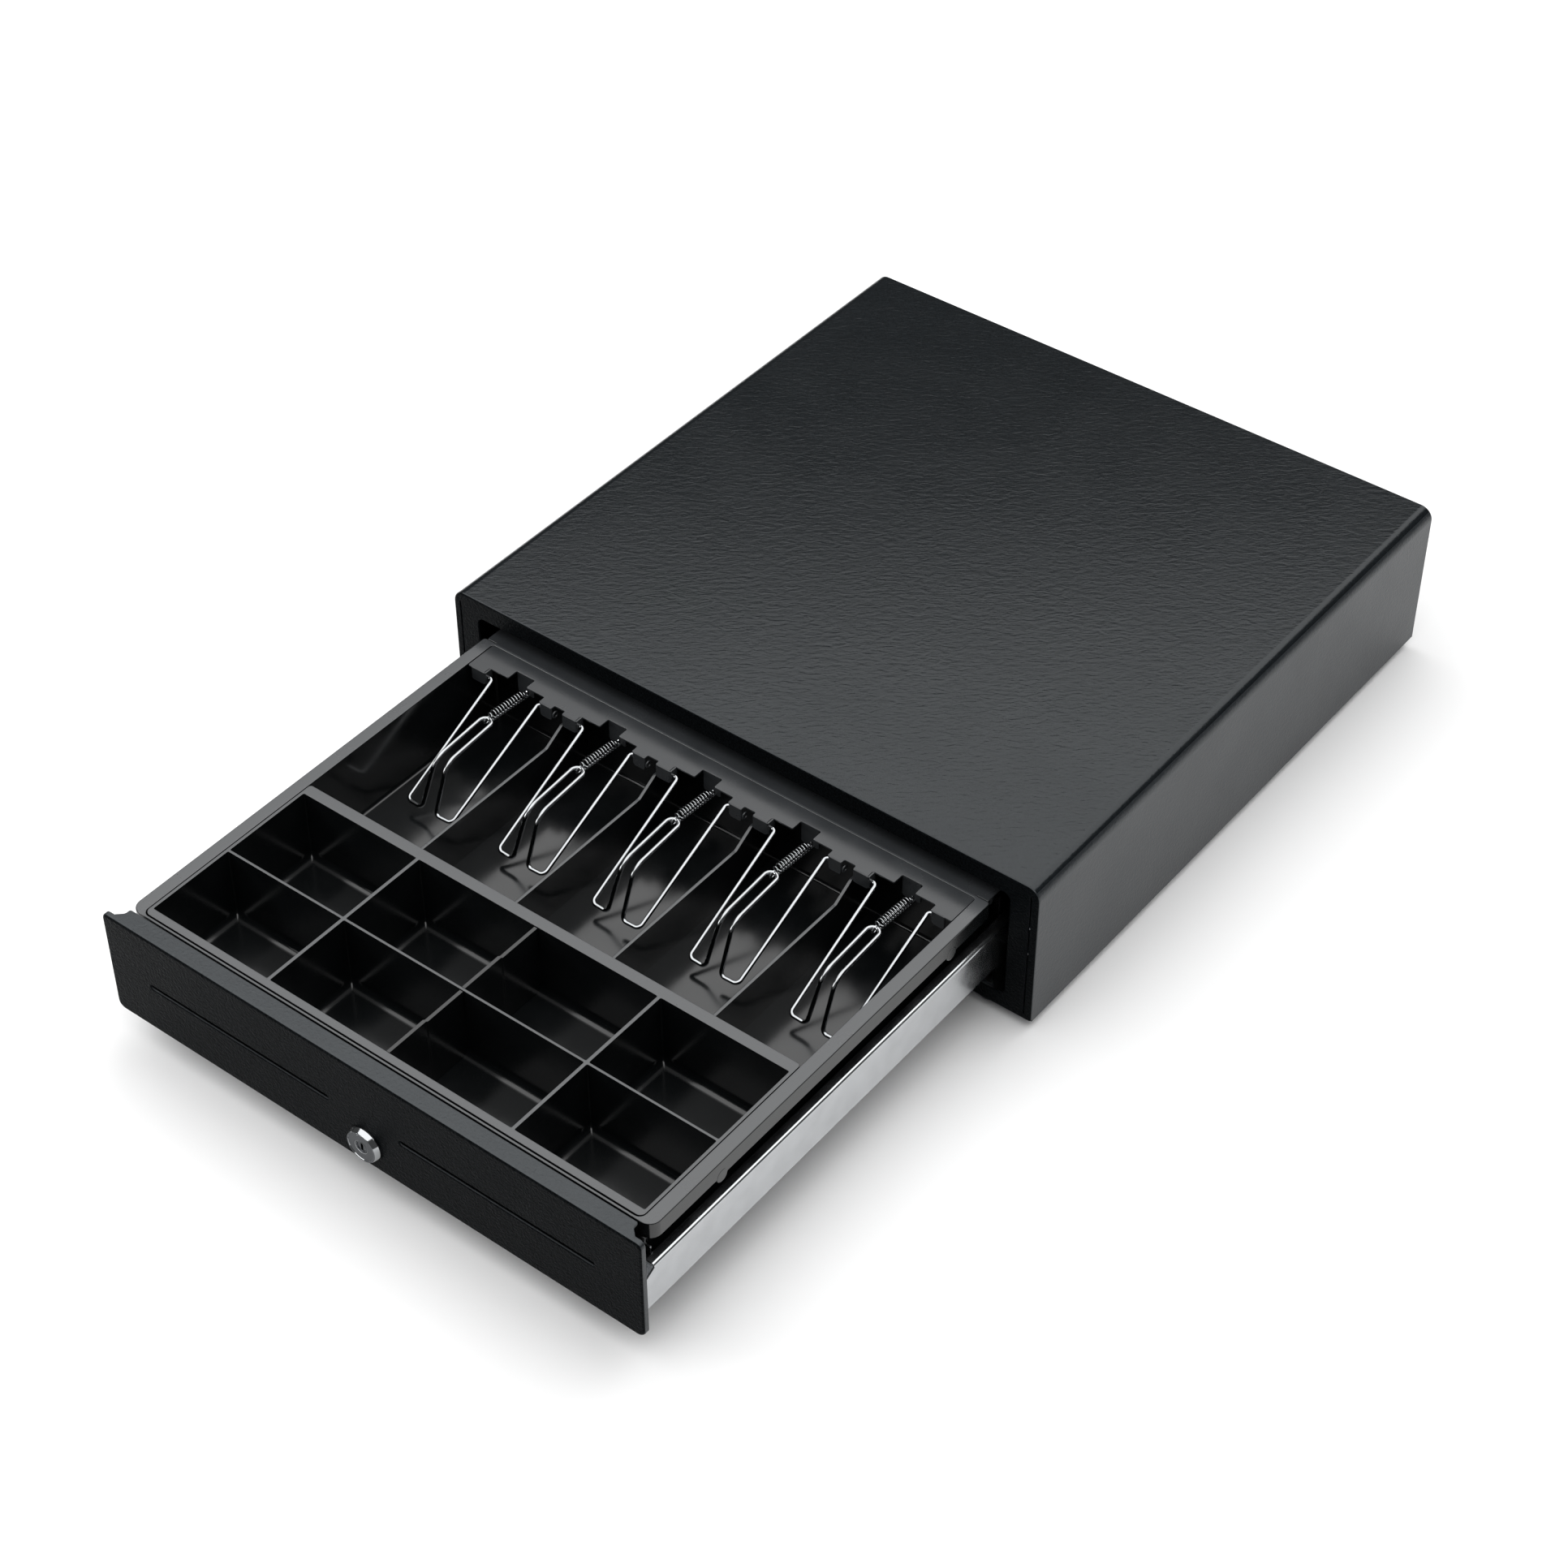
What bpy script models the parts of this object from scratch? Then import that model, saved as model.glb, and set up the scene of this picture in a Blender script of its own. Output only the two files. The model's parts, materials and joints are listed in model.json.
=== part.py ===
"""Point-of-sale cash drawer, standing open.

A bent steel housing on four rubber feet holds a sliding drawer. The drawer carries a till tray with
five note bays and their sprung wire clips, and a coin insert with eight cups. A key lock sits in the
drawer front, and a solenoid latch, a kick-out spring and the printer socket sit at the housing's back.

Sizes are in millimetres, from the bottom edge of the housing's front face: +X to the right, +Y into
the housing, +Z up. The frame empty then puts the world's origin on the floor under the middle of the
open unit.
"""

import math

import bmesh
import bpy
from mathutils import Matrix, Vector

MM = 0.001
GAP = 0.3  # left between pieces that touch

# housing
WIDTH = 410.0
DEPTH = 412.0
HEIGHT = 97.8
SHEET = 1.2
EDGE_BEND = 8.0  # bend radius of the two long top edges
FOOT_HEIGHT = 6.0
FOOT_RADIUS = 10.0
FOOT_X = 172.0
FOOT_Y = (14.0, 392.0)
OPENING_X = 187.0
OPENING_Z = (10.0, 85.5)
OPENING_CORNER = 4.5
BASE_LIP = 12.0
REAR_SCREW_X = 188.0
REAR_SCREW_Z = (12.0, 84.0)
PORT_X = 120.0
PORT_Z = 28.0
PORT_HALF = 7.0
RELIEF_X = 200.0  # slots that part the front face from the side lips
RELIEF_TOP = 91.4
REAR_RECESS = 2.4

# drawer, as it stands open
TRAVEL = 300.0
FRONT_X = 183.4
FRONT_Z = (12.9, 82.8)
FRONT_CORNER = 4.0
FRONT_LIP = 3.7  # depth of the folded edge round the drawer front
TOP_FLANGE = 11.2
TOP_FLANGE_X = 172.9
MEDIA_SLOT_X = (24.3, 152.8)
MEDIA_SLOT_Z = 46.5
MEDIA_SLOT_HEIGHT = 3.2
PAN_WALL_X = 175.7
PAN_SKIRT_X = 181.5
PAN_Z = (26.5, 57.0)
PAN_SKIRT_BOTTOM = 29.3
PAN_SHEET = 1.0
PAN_FRONT_WALL_Y = -282.9
PAN_BACK = 95.0  # the side rails reach this far back
REAR_WALL_Y = 9.0

# lock
LOCK_Z = 29.3
LOCK_PROUD = 4.0
LOCK_RING_R = 11.0
LOCK_BODY_R = 9.3
LOCK_PLUG_R = 6.0
LOCK_BACK_Y = -287.0
CAM_REACH = 21.0

# till
RIM_Z = 78.4
RIM_X = 178.0
RIM_INNER_X = 169.9
RIM_FRONT_Y = -285.2
RIM_BACK_Y = -4.8
SKIRT_Z = 68.0
SKIRT_SHEET = 2.0
TILL_WALL = 2.0
TILL_BOTTOM = 27.8
FLOOR_Z = 29.5
BAY_COUNT = 5
BAY_PITCH = 68.1
BAY_FRONT_Y = -157.3
PARTITION_Z = 58.8
PARTITION = 2.2
INSERT_FRONT_Y = -283.2
CUP_X = 167.0
CUP_FRONT_ROW = (-278.0, -223.9)
CUP_BACK_ROW = (-220.3, -164.8)
CUP_FLOOR = 32.0
CUP_WALL = 3.0
CUP_CORNER = 4.0
LOOSE_DIVIDER = 2.2
DIVIDER_JOG = 0.6
TUB_FRONT_Y = -281.2
LUG_Y = (-39.4, -231.6)
LUG_R = 4.3

# note clips, about each bay's middle
WIRE_R = 1.25
PIVOT_Y = -25.9
PIVOT_Z = 73.5
ARM_X = 17.2
TAB_X = 20.3  # inner face of each pivot tab, from the bay's middle
CLIP_FRONT_Y = -102.3
CLIP_FRONT_Z = 37.0
BRACKET_TOP = 78.2
BRACKET_EDGE_Y = -28.7
BRACKET_FLANGE_Z = 69.0
BRACKET_REAR_Z = 62.0
CROSSBAR_X = 5.2
LOOP_X = 3.9
LOOP_Y = -52.5
LOOP_Z = 68.5
HOOK_Y = -18.5
SPRING_R = 2.7
SPRING_WIRE_R = 0.35

# rollers
FRONT_ROLLER_R = 8.0
FRONT_ROLLER_Y = 16.0
FRONT_ROLLER_X = (164.0, 172.0)
REAR_ROLLER_R = 8.5
REAR_ROLLER_Y = 84.0
REAR_ROLLER_Z = 43.0
REAR_ROLLER_X = (183.5, 190.5)
AXLE_R = 2.0
ROLLER_PLAY = 0.5
CHEEK = 1.2
CHEEK_GAP = 1.0
RAIL_X = 184.0  # inner face of each C rail
RAIL_Y = (14.0, 400.0)
RAIL_STOP_Y = 70.0

# latch
LATCH_PIVOT_Y = 365.0
LATCH_PIVOT_Z = 58.0
LATCH_HALF_X = 8.0
LATCH_Y = (355.0, 375.0)
LEVER_HALF_X = 2.0
FORK_HALF = 6.5
FORK_Z = (53.5, 56.0)
STRIKER_Z = (44.0, 45.5)
PLUNGER_Y = 389.0
PLUNGER_R = 4.0
PLUNGER_NECK_R = 2.2
COIL_Z = (12.0, 42.0)
COIL_R = 10.0
BOBBIN_HALF = 11.5
YOKE_HALF_X = 13.5
YOKE_HALF_Y = 8.0
YOKE = 1.7
KICK_X = -60.0
KICK_Z = 44.0
KICK_Y = (292.0, 349.2)
KICK_HALF = 11.0
SWITCH_X = (40.0, 46.4)
SWITCH_Y = (322.0, 342.0)
KEEPER_Y = 12.6
KEEPER_Z = 14.0

FRAME_Y = -(DEPTH - TRAVEL - LOCK_PROUD) / 2  # centres the open unit on the origin
FRAME_Z = FOOT_HEIGHT


# ---------------------------------------------------------------- materials


def material(name, rgb, roughness, metallic=0.0):
    """A Principled material with the colour in linear RGB."""
    made = bpy.data.materials.new(name)
    made.use_nodes = True
    shader = made.node_tree.nodes["Principled BSDF"]
    shader.inputs["Base Color"].default_value = (*rgb, 1.0)
    shader.inputs["Roughness"].default_value = roughness
    shader.inputs["Metallic"].default_value = metallic
    made.diffuse_color = (*rgb, 1.0)
    return made


# ---------------------------------------------------------------- shapes


def mesh_object(bm):
    """A bmesh in millimetres, as an object whose mesh is in metres."""
    bmesh.ops.recalc_face_normals(bm, faces=bm.faces)
    bmesh.ops.scale(bm, vec=(MM, MM, MM), verts=bm.verts)
    mesh = bpy.data.meshes.new("shape")
    bm.to_mesh(mesh)
    bm.free()
    shape = bpy.data.objects.new("shape", mesh)
    bpy.context.scene.collection.objects.link(shape)
    return shape


def extruded(outline, axis, start, end):
    """An outline extruded along X, Y or Z. Its points are the other two coordinates, in XYZ order."""
    place = {
        "x": lambda a, b: (start, a, b),
        "y": lambda a, b: (a, start, b),
        "z": lambda a, b: (a, b, start),
    }[axis]
    along = {"x": (1, 0, 0), "y": (0, 1, 0), "z": (0, 0, 1)}[axis]
    bm = bmesh.new()
    face = bm.faces.new([bm.verts.new(place(a, b)) for a, b in outline])
    moved = bmesh.ops.extrude_face_region(bm, geom=[face])["geom"]
    verts = [item for item in moved if isinstance(item, bmesh.types.BMVert)]
    bmesh.ops.translate(bm, vec=Vector(along) * (end - start), verts=verts)
    return mesh_object(bm)


def rounded(low_a, high_a, low_b, high_b, radii, steps=4):
    """A rectangle's outline with a radius at each corner, from low-low round to low-high."""
    corners = [
        (low_a, low_b, 1, 1, 180),
        (high_a, low_b, -1, 1, 270),
        (high_a, high_b, -1, -1, 0),
        (low_a, high_b, 1, -1, 90),
    ]
    outline = []
    for (a, b, toward_a, toward_b, first), radius in zip(corners, radii):
        if not radius:
            outline.append((a, b))
            continue
        for step in range(steps + 1):
            turn = math.radians(first + 90 * step / steps)
            outline.append(
                (
                    a + toward_a * radius + radius * math.cos(turn),
                    b + toward_b * radius + radius * math.sin(turn),
                )
            )
    return outline


def block(x, y, z):
    """A box between pairs of coordinates."""
    return extruded([(x[0], y[0]), (x[1], y[0]), (x[1], y[1]), (x[0], y[1])], "z", *z)


def cylinder(centre, axis, radius, start, end, sides=24):
    """A round bar along an axis, centred on the other two coordinates."""
    turns = [2 * math.pi * (i + 0.5) / sides for i in range(sides)]
    ring = [(centre[0] + radius * math.cos(t), centre[1] + radius * math.sin(t)) for t in turns]
    return extruded(ring, axis, start, end)


def turned(profile, centre, axis, sides=24):
    """A profile of (radius, place along the axis) points turned about an axis, closed at both ends."""
    bm = bmesh.new()
    place = {
        "x": lambda r, s, t: (s, centre[0] + r * math.cos(t), centre[1] + r * math.sin(t)),
        "y": lambda r, s, t: (centre[0] + r * math.cos(t), s, centre[1] + r * math.sin(t)),
        "z": lambda r, s, t: (centre[0] + r * math.cos(t), centre[1] + r * math.sin(t), s),
    }[axis]
    turns = [2 * math.pi * (i + 0.5) / sides for i in range(sides)]
    rings = [[bm.verts.new(place(r, s, t)) for t in turns] for r, s in profile]
    for ring, following in zip(rings, rings[1:]):
        for i in range(sides):
            j = (i + 1) % sides
            bm.faces.new([ring[i], ring[j], following[j], following[i]])
    bm.faces.new(rings[0])
    bm.faces.new(list(reversed(rings[-1])))
    return mesh_object(bm)


def wire(path, radius, sides=6):
    """A round wire along a path, its section carried without twisting."""
    points = [Vector(p) for p in path]
    ahead = [(b - a).normalized() for a, b in zip(points, points[1:])]
    tangents = [ahead[0]]
    tangents += [(a + b).normalized() for a, b in zip(ahead, ahead[1:])]
    tangents += [ahead[-1]]
    side = tangents[0].orthogonal().normalized()
    bm = bmesh.new()
    rings = []
    for i, (point, tangent) in enumerate(zip(points, tangents)):
        if i:
            side = tangents[i - 1].rotation_difference(tangent) @ side
        side = (side - tangent * side.dot(tangent)).normalized()
        other = tangent.cross(side)
        ring = []
        for k in range(sides):
            turn = 2 * math.pi * k / sides
            ring.append(bm.verts.new(point + radius * (math.cos(turn) * side + math.sin(turn) * other)))
        rings.append(ring)
    for ring, following in zip(rings, rings[1:]):
        for k in range(sides):
            m = (k + 1) % sides
            bm.faces.new([ring[k], ring[m], following[m], following[k]])
    bm.faces.new(list(reversed(rings[0])))
    bm.faces.new(rings[-1])
    return mesh_object(bm)


def filleted(corners, steps=3):
    """A path through (point, bend radius) corners, each bend an arc tangent to both of its legs."""
    points = [Vector(p) for p, _ in corners]
    path = [points[0]]
    for i in range(1, len(corners) - 1):
        radius = corners[i][1]
        back = (points[i - 1] - points[i]).normalized()
        on = (points[i + 1] - points[i]).normalized()
        half = back.angle(on) / 2
        reach = radius / math.tan(half)
        centre = points[i] + (back + on).normalized() * (radius / math.sin(half))
        first = (points[i] + back * reach - centre).normalized()
        last = (points[i] + on * reach - centre).normalized()
        for step in range(steps + 1):
            path.append(centre + radius * first.slerp(last, step / steps))
    path.append(points[-1])
    return path


def coil(start, end, radius, turns, steps=7):
    """The points of a helix round the line from start to end."""
    start, end = Vector(start), Vector(end)
    along = (end - start).normalized()
    side = along.orthogonal().normalized()
    other = along.cross(side)
    count = int(turns * steps)
    path = []
    for i in range(count + 1):
        turn = 2 * math.pi * i / steps
        middle = start.lerp(end, i / count)
        path.append(middle + radius * (math.cos(turn) * side + math.sin(turn) * other))
    return path


def boolean(target, tool, operation):
    """Join a tool to the target, or cut it away, and remove the tool."""
    modifier = target.modifiers.new("boolean", "BOOLEAN")
    modifier.solver = "EXACT"
    modifier.operation = operation
    modifier.object = tool
    evaluated = target.evaluated_get(bpy.context.evaluated_depsgraph_get())
    mesh = bpy.data.meshes.new_from_object(evaluated)
    target.modifiers.clear()
    target.data = mesh
    bpy.data.objects.remove(tool)


def carved(solid, cuts):
    """A solid with its cuts already taken out, before other solids join it."""
    for cut in cuts:
        boolean(solid, cut, "DIFFERENCE")
    return solid


def span(sign, near, far):
    """A pair of X coordinates on the right (sign 1) or mirrored to the left (sign -1), in rising order."""
    return sorted((sign * near, sign * far))


def empty(name, location, parent=None):
    """An empty that carries a moving body, with its place in millimetres in the housing's frame."""
    made = bpy.data.objects.new(name, None)
    bpy.context.scene.collection.objects.link(made)
    made["place"] = list(location)
    if parent is None:
        made.location = Vector(location) * MM
    else:
        made.parent = parent
        made.location = (Vector(location) - Vector(parent["place"])) * MM
    return made


def piece(name, parent, finish, solids, cuts=(), smooth=None):
    """One named part: its solids joined, its cuts taken out, and its origin at its body's origin."""
    made = solids[0]
    for solid in solids[1:]:
        boolean(made, solid, "UNION")
    for cut in cuts:
        boolean(made, cut, "DIFFERENCE")
    made.name = name
    made.data.name = name
    made.data.materials.clear()
    made.data.materials.append(finish)
    made.data.transform(Matrix.Translation(-Vector(parent["place"]) * MM))
    made.parent = parent
    if smooth:
        made.data.shade_smooth()
        made.data.set_sharp_from_angle(angle=math.radians(smooth))
    return made


# ---------------------------------------------------------------- housing


def build_housing(housing, finish):
    """The cover, base, rear panel and feet."""
    radii = (0, 0, EDGE_BEND, EDGE_BEND)
    shell = extruded(rounded(-WIDTH / 2, WIDTH / 2, 0, HEIGHT, radii, 8), "y", 0, DEPTH)
    inner_x = WIDTH / 2 - SHEET
    inner_bend = EDGE_BEND - SHEET
    inner_radii = (0, 0, inner_bend, inner_bend)
    inside = rounded(-inner_x, inner_x, -5, HEIGHT - SHEET, inner_radii, 8)
    opening = rounded(-OPENING_X, OPENING_X, *OPENING_Z, [OPENING_CORNER] * 4)
    cuts = [extruded(inside, "y", SHEET, DEPTH + 5), extruded(opening, "y", -5, SHEET + 5)]
    for side in (-1, 1):
        slot_x = sorted((side * (RELIEF_X - 0.5), side * (RELIEF_X + 0.5)))
        cuts.append(block(slot_x, (-5, SHEET + 0.5), (-5, RELIEF_TOP)))
    piece("housing_cover", housing, finish["powder"], [shell], cuts, smooth=40)

    fit_x = inner_x - GAP
    outer = block((-fit_x, fit_x), (SHEET + GAP, DEPTH - REAR_RECESS - 2 * SHEET), (GAP, GAP + BASE_LIP))
    hollow = block((SHEET - fit_x, fit_x - SHEET), (-5, DEPTH + 5), (GAP + SHEET, 50))
    piece("base_plate", housing, finish["zinc"], [outer], [hollow])

    panel_y = DEPTH - REAR_RECESS - SHEET
    panel = rounded(-fit_x, fit_x, GAP, HEIGHT - SHEET - GAP, inner_radii, 8)
    hole_half = PORT_HALF + GAP
    port_hole = block((PORT_X - hole_half, PORT_X + hole_half), (panel_y - 5, DEPTH),
                      (PORT_Z - hole_half, PORT_Z + hole_half))
    piece("rear_panel", housing, finish["powder"], [extruded(panel, "y", panel_y, panel_y + SHEET)],
          [port_hole])

    chamfer = 1.5
    profile = [(FOOT_RADIUS, 0.0), (FOOT_RADIUS, chamfer - FOOT_HEIGHT), (FOOT_RADIUS - chamfer, -FOOT_HEIGHT)]
    for end, y in zip(("front", "rear"), FOOT_Y):
        for side, x in (("left", -FOOT_X), ("right", FOOT_X)):
            piece(f"foot_{end}_{side}", housing, finish["rubber"], [turned(profile, (x, y), "z")], smooth=40)

    screw_y = DEPTH - REAR_RECESS + GAP
    head = [(3.5, screw_y), (3.5, screw_y + 0.9), (2.4, screw_y + 1.7)]
    corners = [(x, z) for z in REAR_SCREW_Z for x in (-REAR_SCREW_X, REAR_SCREW_X)]
    cut_y = (screw_y + 0.8, DEPTH + 5)
    for number, (x, z) in enumerate(corners, 1):
        cross = [block((x - 1.7, x + 1.7), cut_y, (z - 0.4, z + 0.4)),
                 block((x - 0.4, x + 0.4), cut_y, (z - 1.7, z + 1.7))]
        piece(f"rear_screw_{number}", housing, finish["zinc"], [turned(head, (x, z), "y", 16)], cross)


def build_rails(housing, finish):
    """The fixed C rails on the side walls, and the brackets that hold the front rollers."""
    wall_x = WIDTH / 2 - SHEET - GAP
    low = REAR_ROLLER_Z - REAR_ROLLER_R - ROLLER_PLAY
    high = REAR_ROLLER_Z + REAR_ROLLER_R + ROLLER_PLAY
    near, far = FRONT_ROLLER_X
    bracket_y = (FRONT_ROLLER_Y - 7, FRONT_ROLLER_Y + 7)
    bracket_top = PAN_Z[0] - 2.5
    floor = GAP + SHEET + GAP
    centre = (FRONT_ROLLER_Y, PAN_Z[0] - GAP - FRONT_ROLLER_R)
    for side, sign in (("left", -1), ("right", 1)):
        channel = block(span(sign, RAIL_X, wall_x), RAIL_Y, (low - SHEET, high + SHEET))
        hollow = block(span(sign, RAIL_X - 4, wall_x - SHEET), (0, DEPTH + 8), (low, high))
        stop = block(span(sign, RAIL_X, wall_x), (RAIL_STOP_Y, RAIL_STOP_Y + 2), (low - 0.5, high + 0.5))
        piece(f"rail_{side}", housing, finish["zinc"], [carved(channel, [hollow]), stop])

        inner_cheek = span(sign, near - CHEEK_GAP - CHEEK, near - CHEEK_GAP)
        outer_cheek = span(sign, far + CHEEK_GAP, far + CHEEK_GAP + CHEEK)
        base = block(span(sign, near - CHEEK_GAP - CHEEK, far + CHEEK_GAP + CHEEK), bracket_y,
                     (floor, floor + SHEET))
        cheeks = [block(x, bracket_y, (floor + 0.4, bracket_top)) for x in (inner_cheek, outer_cheek)]
        bore = cylinder(centre, "x", AXLE_R + GAP, *span(sign, near - 9, far + 10), 16)
        piece(f"roller_bracket_{side}", housing, finish["zinc"], [base, *cheeks], [bore])
        axle = cylinder(centre, "x", AXLE_R, *span(sign, near - 3.2, far + 3.2), 16)
        piece(f"front_axle_{side}", housing, finish["steel"], [axle], smooth=40)

        body = empty(f"front_roller_body_{side}", (0, *centre), housing)
        roller(f"front_roller_{side}", body, finish, centre, FRONT_ROLLER_R, span(sign, near, far))


def roller(name, body, finish, centre, radius, x):
    """A plastic roller wheel with a bore for its axle and a shallow dish in its outer face."""
    rim = radius - 1.6
    hub = AXLE_R + 2.2
    wheel = [(radius - 0.5, x[0]), (radius, x[0] + 0.5), (radius, x[1] - 0.5), (radius - 0.5, x[1])]
    outer = max(x, key=abs)
    start, end = sorted((outer * 1.02, outer - math.copysign(1.2, outer)))
    dish = cylinder(centre, "x", rim, start, end, 16)
    boolean(dish, cylinder(centre, "x", hub, start - 3, end + 3, 12), "DIFFERENCE")
    bore = cylinder(centre, "x", AXLE_R + GAP, x[0] - 5, x[1] + 5, 12)
    piece(name, body, finish["nylon"], [turned(wheel, centre, "x", 20)], [dish, bore], smooth=40)


# ---------------------------------------------------------------- latch


def build_latch(housing, finish):
    """The latch lever on its bracket and the solenoid that pulls it."""
    floor = GAP + SHEET + GAP
    plate = (floor, floor + SHEET)
    pivot = (LATCH_PIVOT_Y, LATCH_PIVOT_Z)
    outer_x = LATCH_HALF_X + SHEET
    cheeks = [block(span(sign, LATCH_HALF_X, outer_x), LATCH_Y, (floor, 66)) for sign in (-1, 1)]
    hole = cylinder(pivot, "x", AXLE_R + GAP, -20, 20, 16)
    piece("latch_bracket", housing, finish["zinc"], [block((-outer_x, outer_x), LATCH_Y, plate), *cheeks], [hole])
    pin = cylinder(pivot, "x", AXLE_R, -outer_x - 1.3, outer_x + 1.3, 16)
    piece("latch_pin", housing, finish["steel"], [pin], smooth=40)

    fork_y = (PLUNGER_Y - 6, PLUNGER_Y + 6)
    fork_x = (-FORK_HALF, FORK_HALF)
    outline = [
        (316.0, 58.0), (316.0, 43.5), (317.5, 41.0), (319.5, 41.0), (319.5, 50.0), (330.0, FORK_Z[0]),
        (396.0, FORK_Z[0]), (396.0, 58.0), (371.0, 62.0), (359.0, 62.0), (340.0, 60.0),
    ]
    arm = extruded(outline, "x", -LEVER_HALF_X, LEVER_HALF_X)
    above_fork = block(fork_x, fork_y, (FORK_Z[1], 65.0))
    slot = cylinder((0, PLUNGER_Y), "z", PLUNGER_NECK_R + 1.2, 50, 65, 16)
    bore = cylinder(pivot, "x", AXLE_R + GAP, -20, 20, 16)
    lever = empty("latch_lever_body", (0, *pivot), housing)
    piece("latch_lever", lever, finish["zinc"], [carved(arm, [above_fork]), block(fork_x, fork_y, FORK_Z)],
          [slot, bore])

    low, high = COIL_Z
    bore_r = PLUNGER_R + GAP
    bobbin_y = (PLUNGER_Y - BOBBIN_HALF, PLUNGER_Y + BOBBIN_HALF)
    winding = cylinder((0, PLUNGER_Y), "z", COIL_R, low, high)
    bobbin = [block((-BOBBIN_HALF, BOBBIN_HALF), bobbin_y, z) for z in ((low, low + 2), (high - 2, high))]
    bore = cylinder((0, PLUNGER_Y), "z", bore_r, low + 4, high + 5)
    piece("solenoid_coil", housing, finish["coil"], [winding, *bobbin], [bore], smooth=40)
    yoke_x = (-YOKE_HALF_X, YOKE_HALF_X)
    yoke_y = (PLUNGER_Y - YOKE_HALF_Y, PLUNGER_Y + YOKE_HALF_Y)
    yoke_top = high + GAP + YOKE
    legs = [block(span(sign, YOKE_HALF_X - YOKE, YOKE_HALF_X), yoke_y, (floor, yoke_top)) for sign in (-1, 1)]
    bridges = [block(yoke_x, yoke_y, z) for z in ((high + GAP, yoke_top), (low - GAP - YOKE, low - GAP))]
    guide = cylinder((0, PLUNGER_Y), "z", bore_r, high - 2, high + 8)
    piece("solenoid_frame", housing, finish["zinc"], [*legs, *bridges], [guide])

    slide = empty("plunger_body", (0, PLUNGER_Y, LATCH_PIVOT_Z + 2), housing)
    neck_z = (51.0, 57.5)
    plunger = [(PLUNGER_R, 21.0), (PLUNGER_R, neck_z[0]), (PLUNGER_NECK_R, neck_z[0]),
               (PLUNGER_NECK_R, neck_z[1]), (4.6, neck_z[1]), (4.6, neck_z[1] + 1.5)]
    piece("solenoid_plunger", slide, finish["steel"], [turned(plunger, (0, PLUNGER_Y), "z")], smooth=40)
    turns = coil((0, PLUNGER_Y, yoke_top + 0.8), (0, PLUNGER_Y, FORK_Z[0] - 1.1), 5.2, 3, 8)
    piece("plunger_spring", housing, finish["steel"], [wire(turns, 0.4, 4)], smooth=60)


def build_fittings(housing, finish):
    """The kick-out spring on its post, the drawer switch, the lock keeper and the printer socket."""
    floor = GAP + SHEET + GAP
    post_x = (KICK_X - KICK_HALF, KICK_X + KICK_HALF)
    wall_y = KICK_Y[1] + 1.1
    rod = cylinder((KICK_X, KICK_Z), "y", 3.0, KICK_Y[0] + 26, wall_y + 1)
    wall = block(post_x, (wall_y, wall_y + 1.5), (floor, KICK_Z + 14))
    foot = block(post_x, (wall_y, wall_y + 18), (floor, floor + SHEET))
    piece("kick_spring_post", housing, finish["zinc"], [wall, foot, rod])
    turns = coil((KICK_X, KICK_Y[0], KICK_Z), (KICK_X, KICK_Y[1], KICK_Z), 5.4, 8, 8)
    piece("kick_spring", housing, finish["steel"], [wire(turns, 0.7, 4)], smooth=60)

    case = block(SWITCH_X, SWITCH_Y, (floor, 12))
    paddle = block((SWITCH_X[0] + 1.7, SWITCH_X[1] - 1.7), (SWITCH_Y[0], SWITCH_Y[0] + 1.2), (11, 19))
    piece("drawer_switch", housing, finish["plastic"], [case, paddle])
    wall = block((-12, 12), (KEEPER_Y - SHEET, KEEPER_Y), (floor, KEEPER_Z))
    foot = block((-12, 12), (3, KEEPER_Y), (floor, floor + SHEET))
    piece("lock_keeper", housing, finish["zinc"], [wall, foot])

    panel_y = DEPTH - REAR_RECESS - SHEET
    snout = block((PORT_X - PORT_HALF, PORT_X + PORT_HALF), (400, DEPTH - 0.4),
                  (PORT_Z - PORT_HALF, PORT_Z + PORT_HALF))
    body = block((PORT_X - 10, PORT_X + 10), (393, panel_y - GAP), (floor, PORT_Z + 9))
    mouth = block((PORT_X - 5, PORT_X + 5), (400, DEPTH + 5), (PORT_Z - 4, PORT_Z + 3))
    clip_slot = block((PORT_X - 2.5, PORT_X + 2.5), (400, DEPTH + 5), (PORT_Z + 2, PORT_Z + 5))
    piece("printer_port", housing, finish["plastic"], [body, snout], [mouth, clip_slot])


# ---------------------------------------------------------------- drawer


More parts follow.
